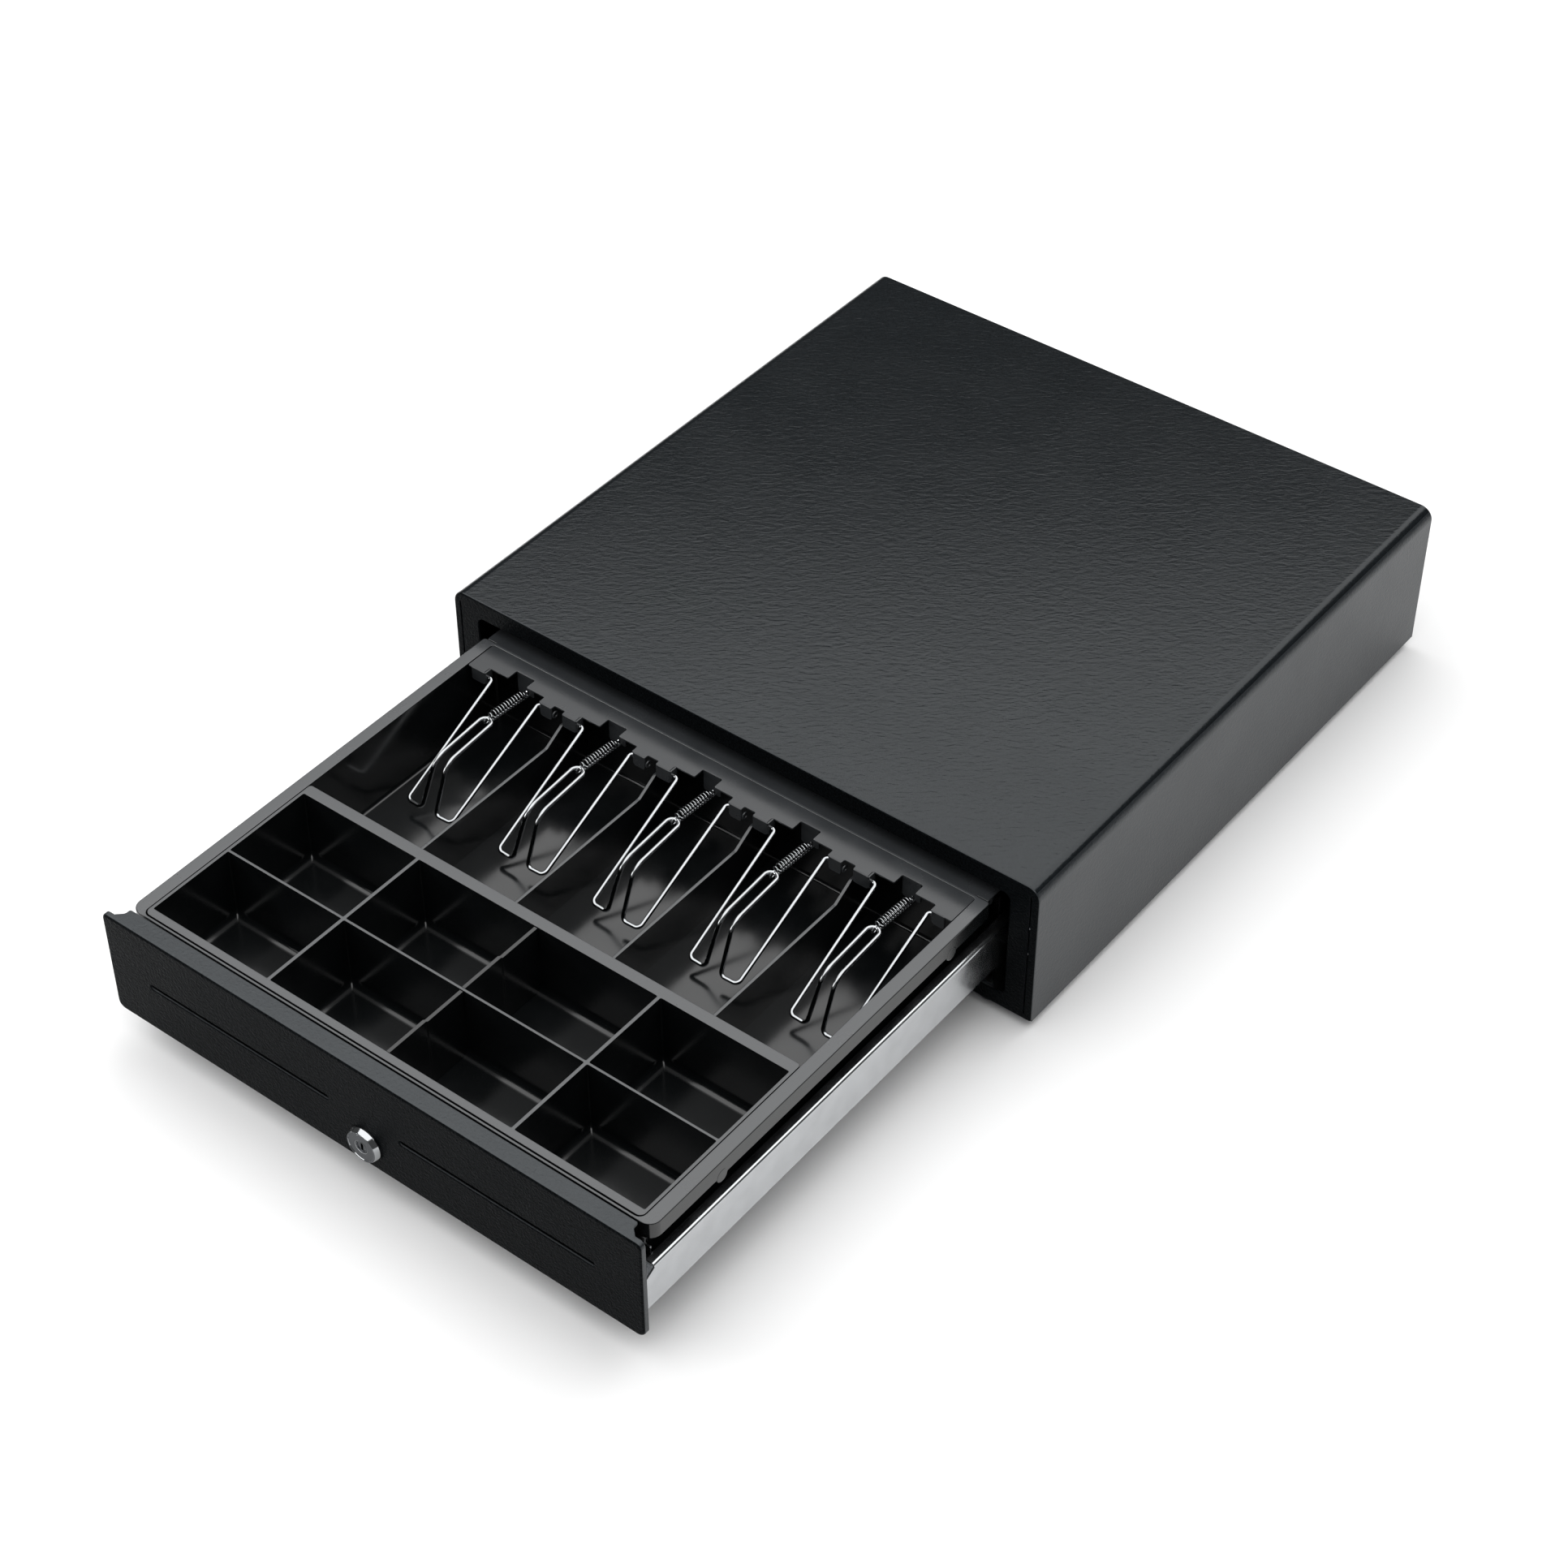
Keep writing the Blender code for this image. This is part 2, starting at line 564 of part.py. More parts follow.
def build_drawer_shell(drawer, finish):
    """The drawer front, the pan with its folded sides, and the rear wall with the striker."""
    front_y = -TRAVEL
    outline = rounded(-FRONT_X, FRONT_X, *FRONT_Z, [FRONT_CORNER] * 4)
    plate = extruded(outline, "y", front_y, front_y + FRONT_LIP)
    low, high = FRONT_Z
    top = block((-TOP_FLANGE_X, TOP_FLANGE_X), (front_y + 1, front_y + TOP_FLANGE), (high - SHEET, high))
    inner_corner = FRONT_CORNER - SHEET
    inner = rounded(SHEET - FRONT_X, FRONT_X - SHEET, low + SHEET, high - SHEET, [inner_corner] * 4)
    cuts = [extruded(inner, "y", front_y + SHEET, front_y + 30)]
    half = MEDIA_SLOT_HEIGHT / 2
    for sign in (-1, 1):
        slot = rounded(*span(sign, *MEDIA_SLOT_X), MEDIA_SLOT_Z - half, MEDIA_SLOT_Z + half, [half * 0.98] * 4, 3)
        cuts.append(extruded(slot, "y", front_y - 5, front_y + 3))
    cuts.append(cylinder((0, LOCK_Z), "y", LOCK_BODY_R + GAP, front_y - 5, front_y + 5, 32))
    piece("drawer_front", drawer, finish["powder"], [plate, top], cuts)

    bottom, crest = PAN_Z
    wall, skirt, t = PAN_WALL_X, PAN_SKIRT_X, PAN_SHEET
    right = [(wall, bottom), (wall, crest - t), (skirt - t, crest - t), (skirt - t, PAN_SKIRT_BOTTOM),
             (skirt, PAN_SKIRT_BOTTOM), (skirt, crest), (wall - t, crest), (wall - t, bottom + t)]
    left = [(-x, z) for x, z in reversed(right)]
    sheet = extruded(right + left, "y", front_y + SHEET + GAP, PAN_BACK)
    front_wall = block((-wall + 0.4, wall - 0.4), (PAN_FRONT_WALL_Y, PAN_FRONT_WALL_Y + t), (bottom + 0.2, 60))
    tab_y = (front_y + SHEET + GAP, front_y + SHEET + GAP + t)
    tabs = [block(span(sign, 160.0, wall - 0.4), tab_y, (30, crest - 2)) for sign in (-1, 1)]
    cuts = [block((t - wall, wall - t), (front_y - 5, PAN_FRONT_WALL_Y), (bottom - 5, bottom + t + 0.01)),
            block((-160, 160), (REAR_WALL_Y + 3, PAN_BACK + 5), (bottom - 5, bottom + 5))]
    for sign in (-1, 1):
        cuts.append(block(span(sign, wall + 0.3, skirt + 2), (front_y - 5, front_y + 11.7), (crest - 6, crest + 5)))
        bore_x = span(sign, wall + 1, skirt + 5)
        cuts.append(cylinder((REAR_ROLLER_Y, REAR_ROLLER_Z), "x", AXLE_R + GAP, *bore_x, 16))
    piece("drawer_pan", drawer, finish["zinc"], [carved(sheet, cuts), front_wall, *tabs])

    inside = wall - t - GAP
    seat = bottom + t + GAP
    back = block((-inside, inside), (REAR_WALL_Y, REAR_WALL_Y + SHEET), (seat, 70))
    foot = block((-inside, inside), (REAR_WALL_Y - 8, REAR_WALL_Y + SHEET), (seat, seat + SHEET))
    piece("drawer_rear_wall", drawer, finish["zinc"], [back, foot])
    tongue_y = REAR_WALL_Y + SHEET + GAP
    striker = [block((-13, 13), (tongue_y, tongue_y + SHEET), (36, 54)),
               block((-13, 13), (tongue_y, tongue_y + 15), STRIKER_Z)]
    notch = block((-5, 5), (tongue_y + 4, tongue_y + 10.5), (40, 50))
    piece("striker", drawer, finish["zinc"], striker, [notch])

    for side, sign in (("left", -1), ("right", 1)):
        centre = (REAR_ROLLER_Y, REAR_ROLLER_Z)
        x = span(sign, wall + 1.3, REAR_ROLLER_X[1] + 1.0)
        piece(f"rear_axle_{side}", drawer, finish["steel"], [cylinder(centre, "x", AXLE_R, *x, 16)], smooth=40)
        body = empty(f"rear_roller_body_{side}", (0, *centre), drawer)
        roller(f"rear_roller_{side}", body, finish, centre, REAR_ROLLER_R, span(sign, *REAR_ROLLER_X))


def build_lock(drawer, finish):
    """The barrel in the drawer front, its nut, and the plug and cam that turn with the key."""
    face_y = -TRAVEL - LOCK_PROUD
    seat_y = -TRAVEL - GAP
    centre = (0, LOCK_Z)
    barrel = [(LOCK_BODY_R - 1.3, face_y), (LOCK_RING_R - 1.6, face_y + 0.3), (LOCK_RING_R, face_y + 2.0),
              (LOCK_RING_R, seat_y), (LOCK_BODY_R, seat_y), (LOCK_BODY_R, LOCK_BACK_Y)]
    bore = cylinder(centre, "y", LOCK_PLUG_R + GAP, face_y - 5, LOCK_BACK_Y + 5)
    piece("lock_barrel", drawer, finish["chrome"], [turned(barrel, centre, "y", 32)], [bore], smooth=40)

    hexagon = cylinder(centre, "y", 13.0, -TRAVEL + SHEET + GAP, -TRAVEL + 5.5, 6)
    hole = cylinder(centre, "y", LOCK_BODY_R + GAP, -TRAVEL, -TRAVEL + 9, 32)
    piece("lock_nut", drawer, finish["steel"], [hexagon], [hole])

    plug = empty("lock_plug_body", (0, face_y, LOCK_Z), drawer)
    keyway = block((-1.1, 1.1), (face_y - 5, face_y + 7), (LOCK_Z - 3.6, LOCK_Z + 3.6))
    bar = cylinder(centre, "y", LOCK_PLUG_R, face_y + 0.4, LOCK_BACK_Y + 1.0)
    piece("lock_plug", plug, finish["satin"], [bar], [keyway], smooth=40)
    cam_y = (LOCK_BACK_Y + 1.0 + GAP, LOCK_BACK_Y + 2.8 + GAP)
    arm = rounded(-6.0, CAM_REACH, LOCK_Z - 5.0, LOCK_Z + 5.0, [4.5] * 4)
    piece("lock_cam", plug, finish["zinc"], [extruded(arm, "y", *cam_y)])


# ---------------------------------------------------------------- till


def bay_middles():
    """The middle of each note bay, from left to right."""
    return [(i - (BAY_COUNT - 1) / 2) * BAY_PITCH for i in range(BAY_COUNT)]


def build_till(drawer, finish):
    """The till tray with its rim and note partitions, and the coin insert with its loose dividers."""
    under_x = RIM_X - SKIRT_SHEET
    tray = extruded(rounded(-RIM_X, RIM_X, RIM_FRONT_Y, RIM_BACK_Y, (7, 7, 2, 2)), "z", SKIRT_Z, RIM_Z)
    under = rounded(-under_x, under_x, RIM_FRONT_Y + SKIRT_SHEET, RIM_BACK_Y + 5, (5, 5, 0, 0))
    boolean(tray, extruded(under, "z", SKIRT_Z - 5, RIM_Z - 2.0), "DIFFERENCE")
    tub_x = RIM_INNER_X + TILL_WALL
    tub = rounded(-tub_x, tub_x, TUB_FRONT_Y, RIM_BACK_Y, (4, 4, 2, 2))
    boolean(tray, extruded(tub, "z", TILL_BOTTOM, RIM_Z - 0.5), "UNION")
    inside_x = (-RIM_INNER_X, RIM_INNER_X)
    back_y = RIM_BACK_Y - TILL_WALL
    inside = block(inside_x, (TUB_FRONT_Y + 1.0, back_y), (FLOOR_Z, RIM_Z + 5))
    insert_seat = block(inside_x, (INSERT_FRONT_Y - GAP, BAY_FRONT_Y), (RIM_Z - 3.0, RIM_Z + 5))
    bracket_seat = block(inside_x, (RIM_BACK_Y - 5, RIM_BACK_Y + 5), (RIM_Z - 2.0, RIM_Z + 5))
    solids = [carved(tray, [inside, insert_seat, bracket_seat])]

    start_y = BAY_FRONT_Y + GAP
    rise_z = 67.0
    outline = [
        (start_y, FLOOR_Z - 0.5), (start_y, PARTITION_Z), (-39.9, PARTITION_Z),
        (-26.0, rise_z), (back_y + 0.5, rise_z), (back_y + 0.5, FLOOR_Z - 0.5),
    ]
    middles = bay_middles()
    for left, right in zip(middles, middles[1:]):
        x = (left + right) / 2
        solids.append(extruded(outline, "x", x - PARTITION / 2, x + PARTITION / 2))
    for y in LUG_Y:
        for sign in (-1, 1):
            solids.append(cylinder((y, SKIRT_Z), "x", LUG_R, *span(sign, under_x + 0.01, RIM_X - 0.01), 16))
    piece("till_tray", drawer, finish["tray"], solids)

    fit_x = RIM_INNER_X - GAP
    flange = rounded(-fit_x, fit_x, INSERT_FRONT_Y, BAY_FRONT_Y, (4, 4, 2, 2))
    tub = block((-fit_x, fit_x), (TUB_FRONT_Y + 1.0 + GAP, BAY_FRONT_Y - 1.0), (FLOOR_Z + GAP, RIM_Z - 1.0))
    cross_x = CUP_X / 2
    half = CUP_WALL / 2
    spans = ((-CUP_X, -cross_x - half), (half - cross_x, cross_x - half), (cross_x + half, CUP_X))
    cups = []
    for row in (CUP_FRONT_ROW, CUP_BACK_ROW):
        for x in spans:
            cups.append(extruded(rounded(*x, *row, [CUP_CORNER] * 4, 3), "z", CUP_FLOOR, RIM_Z + 5))
    piece("coin_insert", drawer, finish["tray"], [extruded(flange, "z", RIM_Z - 2.5, RIM_Z), tub], cups)

    half = LOOSE_DIVIDER / 2
    for name, row in (("coin_divider_front", CUP_FRONT_ROW), ("coin_divider_rear", CUP_BACK_ROW)):
        low, high = row[0] + GAP, row[1] - GAP
        middle = (low + high) / 2
        jog = DIVIDER_JOG / 2
        outline = [
            (-half - jog, low), (half - jog, low), (half - jog, middle), (half + jog, middle),
            (half + jog, high), (jog - half, high), (jog - half, middle), (-half - jog, middle),
        ]
        piece(name, drawer, finish["tray"], [extruded(outline, "z", CUP_FLOOR + GAP, RIM_Z - 0.4)])


def build_bracket(drawer, finish):
    """The steel clip bracket across the back of the till, with pivots, spring hooks and eyelets."""
    low, high = BRACKET_TOP - SHEET, BRACKET_TOP
    fit_x = RIM_INNER_X - GAP
    back_y = REAR_WALL_Y - GAP
    edge = BRACKET_EDGE_Y
    flange_z = (BRACKET_FLANGE_Z, high - 0.1)
    hook_z = (63.5, 64.7)
    plate = block((-fit_x, fit_x), (edge, back_y), (low, high))
    wings = block((2 - RIM_X, RIM_X - 2), (RIM_BACK_Y + GAP, back_y), (low, high))
    rear = block((-170, 170), (back_y - SHEET, back_y), (BRACKET_REAR_Z, high))
    notches = ((-TAB_X, TAB_X, -23.3), (-7.6, 6.0, -15.7), (29.2, 36.8, -25.4))  # left, right, depth
    cuts = []
    joins = []
    bores = []
    for middle in bay_middles():
        for left, right, depth in notches:
            cuts.append(block((middle + left, middle + right), (edge - 5, depth), (low - 5, high + 5)))
        for left, right in ((-30.0, -TAB_X), (TAB_X, 29.2)):
            joins.append(block((middle + left, middle + right), (edge, edge + SHEET), flange_z))
        for x in (middle - TAB_X - SHEET, middle + TAB_X):
            joins.append(block((x, x + SHEET), (edge, -23.0), flange_z))
            bores.append(cylinder((PIVOT_Y, PIVOT_Z), "x", WIRE_R + GAP, x - 1.0, x + SHEET + 1.0, 10))
        joins.append(block((middle - 7.6, middle + 4.6), (-15.8, -14.6), (hook_z[0], high - 0.1)))
        joins.append(block((middle - 1.5, middle + 1.5), (HOOK_Y - 0.6, -14.7), hook_z))
    piece("clip_bracket", drawer, finish["tray_steel"], [carved(plate, cuts), wings, rear, *joins], bores)


def clip_path(middle):
    """One clip's wire: pivot, arm, crossbar and return on each side, joined by the loop at the back."""
    right = [
        ((middle + TAB_X + 2.6, PIVOT_Y, PIVOT_Z), 0),
        ((middle + ARM_X, PIVOT_Y, PIVOT_Z), 2.2),
        ((middle + 16.7, CLIP_FRONT_Y, CLIP_FRONT_Z), 3.2),
        ((middle + CROSSBAR_X, CLIP_FRONT_Y - 0.4, CLIP_FRONT_Z), 3.2),
        ((middle + LOOP_X, -89.5, LOOP_Z - 2.8), 10.0),
        ((middle + LOOP_X, LOOP_Y, LOOP_Z), 0),
    ]
    half = filleted(right)
    loop = []
    for step in range(1, 6):
        turn = math.pi * step / 6
        loop.append(Vector((middle + LOOP_X * math.cos(turn), LOOP_Y + LOOP_X * math.sin(turn), LOOP_Z)))
    mirrored = [Vector((2 * middle - p.x, p.y, p.z)) for p in reversed(half)]
    return half + loop + mirrored


def build_clips(drawer, finish):
    """The five sprung wire clips that hold the notes down."""
    for number, middle in enumerate(bay_middles(), 1):
        body = empty(f"note_clip_body_{number}", (middle, PIVOT_Y, PIVOT_Z), drawer)
        piece(f"note_clip_{number}", body, finish["chrome"], [wire(clip_path(middle), WIRE_R)], smooth=60)
        turns = coil((middle, LOOP_Y + 6.1, LOOP_Z + 0.8), (middle, HOOK_Y - 1.8, LOOP_Z - 1.9), SPRING_R, 7)
        piece(f"clip_spring_{number}", drawer, finish["steel"], [wire(turns, SPRING_WIRE_R, 4)], smooth=60)


def main():
    """Clear the scene and build the drawer unit."""
    for old in list(bpy.data.objects):
        bpy.data.objects.remove(old)
    finish = {
        "powder": material("black_powder_coat", (0.012, 0.013, 0.014), 0.45),
        "zinc": material("zinc_plated_steel", (0.55, 0.56, 0.57), 0.35, 1.0),
        "steel": material("bright_steel", (0.62, 0.62, 0.63), 0.25, 1.0),
        "chrome": material("chrome_wire", (0.80, 0.80, 0.81), 0.08, 1.0),
        "satin": material("satin_chrome", (0.60, 0.60, 0.61), 0.3, 1.0),
        "rubber": material("black_rubber", (0.015, 0.015, 0.015), 0.8),
        "nylon": material("white_nylon", (0.75, 0.75, 0.72), 0.45),
        "plastic": material("black_plastic", (0.02, 0.02, 0.02), 0.4),
        "coil": material("coil_tape", (0.25, 0.03, 0.02), 0.5),
        "tray": material("black_abs", (0.02, 0.022, 0.024), 0.25),
        "tray_steel": material("grey_painted_steel", (0.17, 0.18, 0.19), 0.4),
    }
    frame = empty("frame", (0, 0, 0))
    frame.location = (0, FRAME_Y * MM, FRAME_Z * MM)
    housing = empty("housing_body", (0, 0, 0), frame)
    drawer = empty("drawer_body", (0, -TRAVEL, 0), frame)
    build_housing(housing, finish)
    build_rails(housing, finish)
    build_latch(housing, finish)
    build_fittings(housing, finish)
    build_drawer_shell(drawer, finish)
    build_lock(drawer, finish)
    build_till(drawer, finish)
    build_bracket(drawer, finish)
    build_clips(drawer, finish)


main()
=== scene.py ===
# %% [markdown]
# # A cash drawer, standing open
#
# This file dresses the drawer's engineering model, the frame, for a picture. The frame already has every
# piece in its right place and knows which pieces slide or turn together. Here each piece that shows gets
# a smoother, rounder surface and a finish worked out from what the real piece is made of.
#
# Lengths are written in millimetres, measured from the bottom edge of the housing's front face: X to the
# right, Y into the housing and Z up.

# %% The frame, and the housing's front as the place to measure from
import json
import math

import bmesh
import bpy
import numpy as np
from mathutils import Matrix, Vector


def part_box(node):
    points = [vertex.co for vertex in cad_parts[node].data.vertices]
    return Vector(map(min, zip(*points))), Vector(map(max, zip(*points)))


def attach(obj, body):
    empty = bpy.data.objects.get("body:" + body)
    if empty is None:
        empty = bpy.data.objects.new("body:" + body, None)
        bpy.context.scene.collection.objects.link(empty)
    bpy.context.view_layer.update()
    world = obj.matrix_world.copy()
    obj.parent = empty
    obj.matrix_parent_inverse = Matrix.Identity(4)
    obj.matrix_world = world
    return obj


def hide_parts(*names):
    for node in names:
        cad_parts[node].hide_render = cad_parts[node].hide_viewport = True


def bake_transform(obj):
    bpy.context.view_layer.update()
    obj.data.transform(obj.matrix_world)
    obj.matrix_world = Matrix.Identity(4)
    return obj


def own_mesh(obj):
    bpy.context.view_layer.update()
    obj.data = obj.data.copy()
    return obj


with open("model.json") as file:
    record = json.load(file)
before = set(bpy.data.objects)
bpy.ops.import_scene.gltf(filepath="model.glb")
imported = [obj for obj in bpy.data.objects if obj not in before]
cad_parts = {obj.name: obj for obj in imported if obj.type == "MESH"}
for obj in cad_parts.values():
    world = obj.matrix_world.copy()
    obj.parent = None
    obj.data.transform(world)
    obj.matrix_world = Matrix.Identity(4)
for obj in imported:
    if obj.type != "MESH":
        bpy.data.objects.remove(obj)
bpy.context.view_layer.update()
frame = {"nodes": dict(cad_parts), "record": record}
MM = 0.001
cover_low, cover_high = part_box("housing_cover")
ORIGIN = np.array([0.0, cover_low.y, cover_low.z])

# %% [markdown]
# ## Outlines
#
# Sheet metal and moulded plastic have no knife edges, so nearly every outline here is a polygon with
# rounded corners. One function rounds any path in the plane or in space: at each corner it finds the arc
# that touches both straight legs. A rounded rectangle is that function's commonest use.


# %% Rounded paths and outlines
def unit(v):
    """Each row divided by its own length."""
    return v / np.linalg.norm(v, axis=-1, keepdims=True)


def round_path(points, radii, steps=6, closed=True):
    """The points with each corner replaced by an arc.

    At a corner with legs a and b, half the angle between them is h. The arc's centre is at r / sin(h)
    along the legs' bisector, and it touches each leg r / tan(h) from the corner. Points along the arc
    blend the two touching radii by the sines of what is left of the turn.
    """
    p = np.asarray(points, float)
    r = np.broadcast_to(np.asarray(radii, float), (len(p),))[:, None]
    if not closed:
        inner, r = p[1:-1], (r[1:-1] if len(r) == len(p) else r)
        before, after = p[:-2], p[2:]
    else:
        inner, before, after = p, np.roll(p, 1, 0), np.roll(p, -1, 0)
    a, b = unit(before - inner), unit(after - inner)
    half = np.arccos(np.clip((a * b).sum(-1, keepdims=True), -1, 1)) / 2
    centre = inner + unit(a + b) * r / np.sin(half)
    first = inner + a * r / np.tan(half) - centre
    last = inner + b * r / np.tan(half) - centre
    turn = (math.pi - 2 * half)[:, None]
    t = np.linspace(0, 1, steps + 1)[None, :, None]
    arc = np.sin((1 - t) * turn) * first[:, None] + np.sin(t * turn) * last[:, None]
    arc = centre[:, None] + arc / np.sin(turn)
    path = arc.reshape(-1, p.shape[1])
    return path if closed else np.vstack([p[:1], path, p[-1:]])


def rounded_rect(x0, x1, y0, y1, r, steps=6):
    """A rectangle from corner (x0, y0) anticlockwise, with one radius or four."""
    return round_path([(x0, y0), (x1, y0), (x1, y1), (x0, y1)], r, steps)


def shrunk(outline, distance):
    """A closed anticlockwise outline moved inwards by a distance, corner by corner.

    Each point moves along the average of its two edges' inward normals, divided by the cosine of half
    the turn there, so that the edges themselves stay parallel.
    """
    ahead = unit(np.roll(outline, -1, 0) - outline)
    inward = np.stack([-ahead[:, 1], ahead[:, 0]], -1)
    mean = unit(inward + np.roll(inward, 1, 0))
    return outline + mean * distance / (mean * inward).sum(-1, keepdims=True)


print("a 10 mm square with 2 mm corners has", len(rounded_rect(0, 10, 0, 10, 2)), "points")

# %% [markdown]
# ## Surfaces
#
# Every new piece is a grid: rings of points joined to the next ring. A solid with rounded edges is an
# outline carried along an axis, drawn in a little at each end along a quarter circle. A wire is a circle
# carried along a path. A moulding is a stack of rounded rectangles that goes up the outside, over the
# rim, and down the inside. The parts are gathered first, then written into one mesh.

# %% Grids, solids, wires and turned shapes
AXES = {"x": (2, 0, 1), "y": (0, 2, 1), "z": (0, 1, 2)}


def place(outline, axis, at):
    """Points in a plane, put into space at a height along the axis. The plane keeps XYZ order."""
    flat = np.asarray(outline, float)
    level = np.full((len(flat), 1), float(at))
    return np.hstack([flat, level])[:, AXES[axis]]


def ring_faces(rings, around, start=0):
    """Four-cornered faces between each ring of points and the next, joined all the way round."""
    row, column = np.meshgrid(np.arange(rings - 1), np.arange(around), indexing="ij")
    here = start + row * around + column
    beside = start + row * around + (column + 1) % around
    return np.stack([here, beside, beside + around, here + around], -1).reshape(-1, 4)


class Shape:
    """Points and faces gathered for one piece."""

    def __init__(self):
        self.points, self.faces, self.count = [], [], 0

    def rings(self, rings, cap_first=False, cap_last=False):
        """Add rings of equal length, each joined to the next, with flat faces over the ends if asked."""
        rings = np.asarray(rings, float)
        rows, around = rings.shape[:2]
        self.points.append(rings.reshape(-1, 3))
        self.faces += ring_faces(rows, around, self.count).tolist()
        last = self.count + (rows - 1) * around
        if cap_first:
            self.faces.append(list(range(self.count + around - 1, self.count - 1, -1)))
        if cap_last:
            self.faces.append(list(range(last, last + around)))
        self.count += rows * around
        return self

    def solid(self, outline, axis, start, end, edge=0.3, steps=3):
        """An outline carried from start to end. At each end it is drawn in by edge * (1 - sin t) while
        it moves edge * (1 - cos t) along, for t from 0 to 90 degrees, which rounds the rim."""
        outline = np.asarray(outline, float)
        following = np.roll(outline, -1, 0)
        if (outline[:, 0] * following[:, 1] - following[:, 0] * outline[:, 1]).sum() < 0:
            outline = outline[::-1]
        t = np.linspace(0, math.pi / 2, steps + 1)
        drawn, moved = edge * (1 - np.sin(t)), edge * (1 - np.cos(t))
        low, high = min(start, end), max(start, end)
        rings = [place(shrunk(outline, d), axis, low + m) for d, m in zip(drawn, moved)]
        rings += [place(shrunk(outline, d), axis, high - m) for d, m in zip(drawn[::-1], moved[::-1])]
        if axis == "y":
            rings = rings[::-1]
        return self.rings(rings, True, True)

    def wire(self, path, across, radius, sides=14):
        """A circle carried along a path. across gives a direction that the path never points in, from
        which each circle's two axes are worked out square to the path."""
        path = np.asarray(path, float)
        along = unit(np.gradient(path, axis=0))
        across = np.broadcast_to(np.asarray(across, float), path.shape)
        side = unit(across - (across * along).sum(-1, keepdims=True) * along)
        other = np.cross(along, side)
        t = np.linspace(0, 2 * math.pi, sides, endpoint=False)[None, :, None]
        circle = np.cos(t) * side[:, None] + np.sin(t) * other[:, None]
        return self.rings(path[:, None] + radius * circle, True, True)

    def turned(self, profile, centre, axis, sides=48, hollow=False):
        """A profile of (radius, place along the axis) turned once round the axis. A hollow one joins its
        last point to its first, as a ring's does; any other is closed by a flat face at each end."""
        if hollow:
            profile = [*profile, profile[0]]
        t = np.linspace(0, 2 * math.pi, sides, endpoint=False)
        circle = np.stack([np.cos(t), np.sin(t)], -1)
        rings = [place(np.asarray(centre) + r * circle, axis, s) for r, s in profile]
        if axis == "y":
            rings = rings[::-1]
        return self.rings(rings, not hollow, not hollow)


block = Shape().solid(rounded_rect(0, 10, 0, 10, 2), "z", 0, 5)
print("a rounded block 5 mm high has", len(block.faces), "faces")

# %% [markdown]
# The gathered points become a mesh in one call. Points that share a place are joined, the faces are
# turned outwards, and an edge sharper than 35 degrees stays crisp while the rest is shaded smooth. The
# piece then rides on its body, takes its finish, and stands in for the plainer node.

# %% From points to a finished piece
def weld(mesh):
    """Joins points that share a place, so that seams close, and turns every face outwards.

    An open skin has no inside, so there the faces are turned until their areas point up on the whole.
    """
    bm = bmesh.new()
    bm.from_mesh(mesh)
    bmesh.ops.remove_doubles(bm, verts=bm.verts, dist=1e-6)
    bmesh.ops.dissolve_degenerate(bm, edges=bm.edges, dist=1e-7)
    bmesh.ops.recalc_face_normals(bm, faces=bm.faces)
    if sum(face.normal.z * face.calc_area() for face in bm.faces) < -1e-6:
        bmesh.ops.reverse_faces(bm, faces=bm.faces)
    open_edges = sum(len(edge.link_faces) != 2 for edge in bm.edges)
    if open_edges:
        print("  edges without two faces:", open_edges)
    bm.to_mesh(mesh)
    bm.free()


def faces_towards(mesh, direction, at_least=0.75):
    """True for each face whose normal leans less than about 40 degrees from a direction."""
    normals = np.zeros(len(mesh.polygons) * 3)
    mesh.polygons.foreach_get("normal", normals)
    return normals.reshape(-1, 3) @ np.asarray(direction, float) > at_least


def also_finished(made, finish, direction, at_least=0.75, above=-1000):
    """Gives a second finish to the faces that look one way and lie above a height in mm."""
    polygons = made.data.polygons
    made.data.materials.append(finish)
    index, centres = np.zeros(len(polygons), np.int32), np.zeros(len(polygons) * 3)
    polygons.foreach_get("material_index", index)
    polygons.foreach_get("center", centres)
    high = centres.reshape(-1, 3)[:, 2] > above * MM + ORIGIN[2]
    index[faces_towards(made.data, direction, at_least) & high] = len(made.data.materials) - 1
    polygons.foreach_set("material_index", index)


def finished(shape, name, body, finish, nodes=(), smooth=35.0, wall=0.0):
    """The gathered points as a mesh object in metres, with its finish, riding on its body."""
    points = np.vstack(shape.points) * MM + ORIGIN
    mesh = bpy.data.meshes.new(name)
    mesh.from_pydata(points.tolist(), [], shape.faces)
    mesh.materials.append(finish)
    made = bpy.data.objects.new(name, mesh)
    bpy.context.scene.collection.objects.link(made)
    weld(mesh)
    mesh.shade_smooth()
    mesh.set_sharp_from_angle(angle=math.radians(smooth))
    if wall:
        thick = made.modifiers.new("wall", "SOLIDIFY")
        thick.thickness = wall * MM
        thick.offset = -1.0
    even = made.modifiers.new("even shading", "WEIGHTED_NORMAL")
    even.keep_sharp = True
    if body:
        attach(made, body)
    if nodes:
        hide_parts(*nodes)
    print(f"{name}: {len(points)} points, {len(shape.faces)} faces, on {body}")
    return made


print("pieces are placed from", ORIGIN.round(4), "metres")

# %% [markdown]
# ## Finishes
#
# A finish starts from the real material's own numbers: how rough it is, how it bends light, and how big
# its grain is. Each pattern reads Object coordinates, which are metres here, so a noise of scale
# 1 / 0.0025 has bumps 2.5 mm across.

